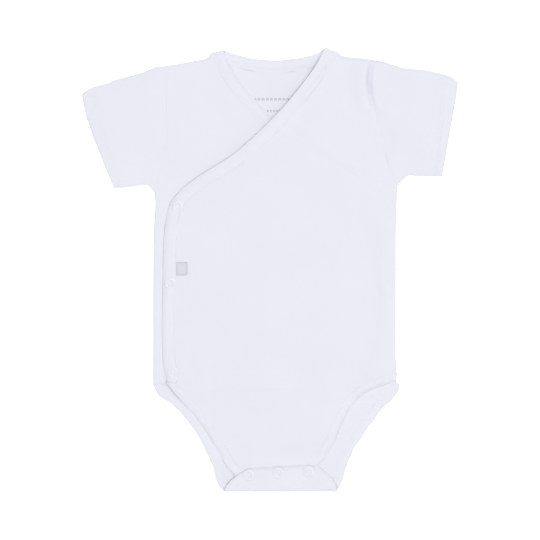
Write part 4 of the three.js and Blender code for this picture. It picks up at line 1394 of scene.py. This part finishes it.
def stitched(name, lines, seed):
    """Stitches along some lines of points."""
    curve = bpy.data.curves.new(name + "_lines", "CURVE")
    curve.dimensions = "3D"
    for line in lines:
        spline = curve.splines.new("POLY")
        spline.points.add(len(line) - 1)
        spline.points.foreach_set("co", np.hstack([line, np.ones((len(line), 1))]).ravel())
    source = bpy.data.objects.new(name + "_lines", curve)
    bpy.context.collection.objects.link(source)
    return grown(name, source, stitch_tree, {"Seed": seed})


stitches_over = stitched("stitches_front_over",
                         tracks_wrap + tracks_front_left + tracks_front_right, 1)
stitches_under = stitched("stitches_front_under", tracks_under, 2)
stitches_back = stitched("stitches_back", tracks_back_left + tracks_back_right + tracks_back, 3)
stitches_sleeves = [
    stitched(f"stitches_sleeve_{spec.piece}", rows, 4 + k)
    for k, (spec, (_, _, _, rows)) in enumerate(zip(SLEEVES, sleeves))]

# %% [markdown]
# ## Ring snaps
# Each snap shows a moulded ring on the cloth: a flat flange with a raised round bead inside it. A
# second small tree sets such a ring on each point, and the points come from the frame.

# %% Rings on points
snap_finish = Finish("snap_white", (0.84, 0.845, 0.89), 0.35)
snap_place = snap_finish.object_place()
snap_finish.links.new(snap_finish.spread(snap_finish.noise(snap_place, 700), 0.28, 0.45),
                      snap_finish.shader.inputs["Roughness"])
snap_finish.tint(snap_finish.noise(snap_place, 160),
                 (0.745, 0.75, 0.825), (0.765, 0.77, 0.84))
snap_finish.bump(snap_finish.noise(snap_place, 1500), 0.12, 0.00005)

ring_tree = Tree("ring_snaps", {
    "Flange Radius": ("NodeSocketFloat", 0.00385),
    "Bead Radius": ("NodeSocketFloat", 0.00300),
})
given = ring_tree.source.outputs
parts = []
for radius, half_width, half_height, rise in (
        (given["Flange Radius"], 0.00090, 0.00032, 0.00004),
        (given["Bead Radius"], 0.00060, 0.00044, 0.00014)):
    hoop = ring_tree.add("GeometryNodeCurvePrimitiveCircle", Resolution=40, Radius=radius)
    section = ring_tree.add("GeometryNodeCurvePrimitiveCircle", Resolution=12, Radius=1.0)
    oval = ring_tree.add("GeometryNodeTransform", Geometry=section.outputs[0],
                         Scale=(half_width, half_height, 1.0))
    ring = ring_tree.add("GeometryNodeCurveToMesh", Curve=hoop.outputs[0],
                         Profile_Curve=oval.outputs[0])
    raised = ring_tree.add("GeometryNodeTransform", Geometry=ring.outputs[0],
                           Translation=(0, 0, rise))
    parts.append(raised.outputs[0])
joined = ring_tree.tree.nodes.new("GeometryNodeJoinGeometry")
for part in parts:
    ring_tree.tree.links.new(part, joined.inputs[0])
set_down = ring_tree.add("GeometryNodeInstanceOnPoints", Points=given["Geometry"],
                         Instance=joined.outputs[0])
ring_tree.finish(set_down.outputs[0], snap_finish.material)

dots = bpy.data.meshes.new("snap_points")
RING_SINK = 0.0006  # the rings are pressed into the cloth this far
dots.from_pydata([(x, y, z - RING_SINK) for x, y, z in snap_places.values()], [], [])
dots_object = bpy.data.objects.new("snap_points", dots)
bpy.context.collection.objects.link(dots_object)
snap_rings = grown("snap_rings", dots_object, ring_tree)

# %% [markdown]
# ## The label
# A small folded tape label is sewn on beside the wrap edge. It is woven, so its threads cross at
# right angles, and its turned edges stand a little higher than its middle. A darker border is
# painted round it as painted shade, and the weave's hollows get painted shade too.

# %% Woven label
LABEL_THREAD = 0.00035
LABEL_SHADE_BORDER = 0.0014


def woven(name, middle, edge, width, height):
    """Plain weave on the UV map, with painted shade in its hollows and a painted shade border of a
    given width.
    """
    finish = Finish(name, middle, 0.8)
    place = finish.cloth_place()
    split = finish.add("ShaderNodeSeparateXYZ")
    finish.plug(split.inputs[0], place)
    u, v = split.outputs["X"], split.outputs["Y"]
    warp = finish.calc("SINE", finish.calc("MULTIPLY", u, math.pi / LABEL_THREAD))
    weft = finish.calc("SINE", finish.calc("MULTIPLY", v, math.pi / LABEL_THREAD))
    weave = finish.calc("MULTIPLY_ADD", finish.calc("MULTIPLY", warp, weft), 0.5, 0.5)
    gaps = [finish.calc("SUBTRACT", half / 2, finish.calc("ABSOLUTE", way))
            for half, way in ((width, u), (height, v))]
    nearest = finish.calc("MINIMUM", *gaps)
    inside = finish.calc("GREATER_THAN", nearest, LABEL_SHADE_BORDER)
    # The colour edge is painted shade round the label's rim, and the weave's low places are
    # darkened as painted shade.
    weave_and_border_shade = finish.calc("MULTIPLY_ADD", weave, 0.18, finish.calc("MULTIPLY", inside, 0.82))
    finish.tint(weave_and_border_shade, edge, middle)
    finish.bump(weave, 0.5, 0.00008)
    finish.shader.inputs["Sheen Weight"].default_value = 0.15
    return finish


def woven_label():
    low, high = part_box("label_patch")
    width, height = high[0] - low[0], high[1] - low[1]
    centre = (low[0] + high[0]) / 2, (low[1] + high[1]) / 2
    u = np.linspace(-width / 2, width / 2, 31)[None, :]
    v = np.linspace(height / 2, -height / 2, 35)[:, None]
    pattern = np.stack(np.broadcast_arrays(u, v), axis=-1)
    x, y = pattern[..., 0] + centre[0], pattern[..., 1] + centre[1]
    under = np.stack([x, y, over_floor(x, y) + CLOTH + 0.0002], axis=-1)
    edge = np.minimum(width / 2 - np.abs(pattern[..., 0]), height / 2 - np.abs(pattern[..., 1]))
    thick = 0.00045 + 0.00018 * fade(edge, 0.0007, 0.0014)
    over = under.copy()
    over[..., 2] += thick
    # The second colour is the painted shade of the border.
    finish = woven("label_weave", (0.655, 0.665, 0.732), (0.595, 0.60, 0.66), width, height)
    return shell("woven_label", over, under, pattern, finish.material), (width, height)


label, label_size = woven_label()

# %% [markdown]
# ## What each piece is
# Every piece is put on the one body, and the solids that it stands for are hidden. For each sheet
# of cloth the size it was cut to is worked out.

def dress(piece, slot, *nodes):
    """Puts a piece on the one body and hides the solids that it stands for. The slot is not used.
    """
    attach(piece, "root")
    if nodes:
        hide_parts(*nodes)


dress(cloth_back, "jersey", "back_panel")
dress(cloth_under, "jersey", "front_under")
dress(cloth_over, "jersey", "front_over")
dress(sleeves[0][0], "jersey", "sleeve_left")
dress(sleeves[1][0], "jersey", "sleeve_right")
dress(binding_back, "binding", "neck_band_back")
dress(binding_under, "binding", "neck_band_under")
dress(binding_wrap, "binding", "wrap_band")
dress(front_left, "binding", "leg_band_front_left")
dress(front_right, "binding", "leg_band_front_right")
dress(back_left, "binding", "leg_band_back_left")
dress(back_right, "binding", "leg_band_back_right")
dress(label, "label", "label_patch")
dress(snap_rings, "snap", *SNAP_NODES)
for piece in [stitches_over, stitches_under, stitches_back, *stitches_sleeves]:
    dress(piece, "binding")


def panel_sheet(piece, plan):
    """Works out the width, length and area of a panel's flat pattern. The piece is not used."""
    width, length, area = flat_size(plan)


NARROWEST = 0.0105  # a binding's strip is at least this wide, with the cloth round its edge

panel_sheet(cloth_back, back_plan)
panel_sheet(cloth_under, under_plan)
panel_sheet(cloth_over, over_plan)
for piece, size, beneath in (
        (binding_back, size_back, cloth_back), (binding_under, size_under, cloth_back),
        (binding_wrap, size_wrap, cloth_under), (front_left, size_front_left, cloth_back),
        (front_right, size_front_right, cloth_back), (back_left, size_back_left, cloth_back),
        (back_right, size_back_right, cloth_back)):
    flat = max(size[0], NARROWEST), size[1]

# %% [markdown]
# ## Floor and light
# The floor is plain white, and it glows a little, so that it stays white round the garment and
# lights the edges of the cloth. A large soft lamp high up on one side gives the folds their shape.
# A weaker one across from it and the pale sky fill the shadows.

# %% Floor, lamps and sky
FLOOR_HALF = 3.0
FLOOR_TOP = -0.0002  # just below the garment
floor_corners = [(x * FLOOR_HALF, y * FLOOR_HALF, FLOOR_TOP)
                 for x, y in ((-1, -1), (1, -1), (1, 1), (-1, 1))]
floor_mesh = bpy.data.meshes.new("floor")
floor_mesh.from_pydata(floor_corners, [], [(0, 1, 2, 3)])
floor = bpy.data.objects.new("floor", floor_mesh)
bpy.context.collection.objects.link(floor)
floor_finish = Finish("floor_white", (0.93, 0.93, 0.93), 0.9)
floor_finish.shader.inputs["Emission Color"].default_value = (1, 1, 1, 1)
floor_finish.shader.inputs["Emission Strength"].default_value = 0.60
floor_finish.bump(floor_finish.noise(floor_finish.object_place(), 300), 0.02, 0.0002)
floor_mesh.materials.append(floor_finish.material)


def soft_lamp(name, position, size, power):
    data = bpy.data.lights.new(name, "AREA")
    data.shape = "DISK"
    data.size = size
    data.energy = power
    lamp = bpy.data.objects.new(name, data)
    lamp.location = position
    lamp.visible_camera = False
    lamp.rotation_euler = (-Vector(position)).to_track_quat("-Z", "Y").to_euler()
    bpy.context.collection.objects.link(lamp)
    return lamp


soft_lamp("key", (1.3, 0.9, 4.2), 2.2, 84)
soft_lamp("fill", (-1.6, -1.8, 4.4), 2.6, 54.5)

world = bpy.data.worlds.new("sky")
bpy.context.scene.world = world
world.use_nodes = True
sky = world.node_tree.nodes["Background"]
sky.inputs["Color"].default_value = (1, 1, 1, 1)
sky.inputs["Strength"].default_value = 0.555
bpy.context.scene.view_settings.view_transform = "Standard"
bpy.context.scene.view_settings.look = "None"
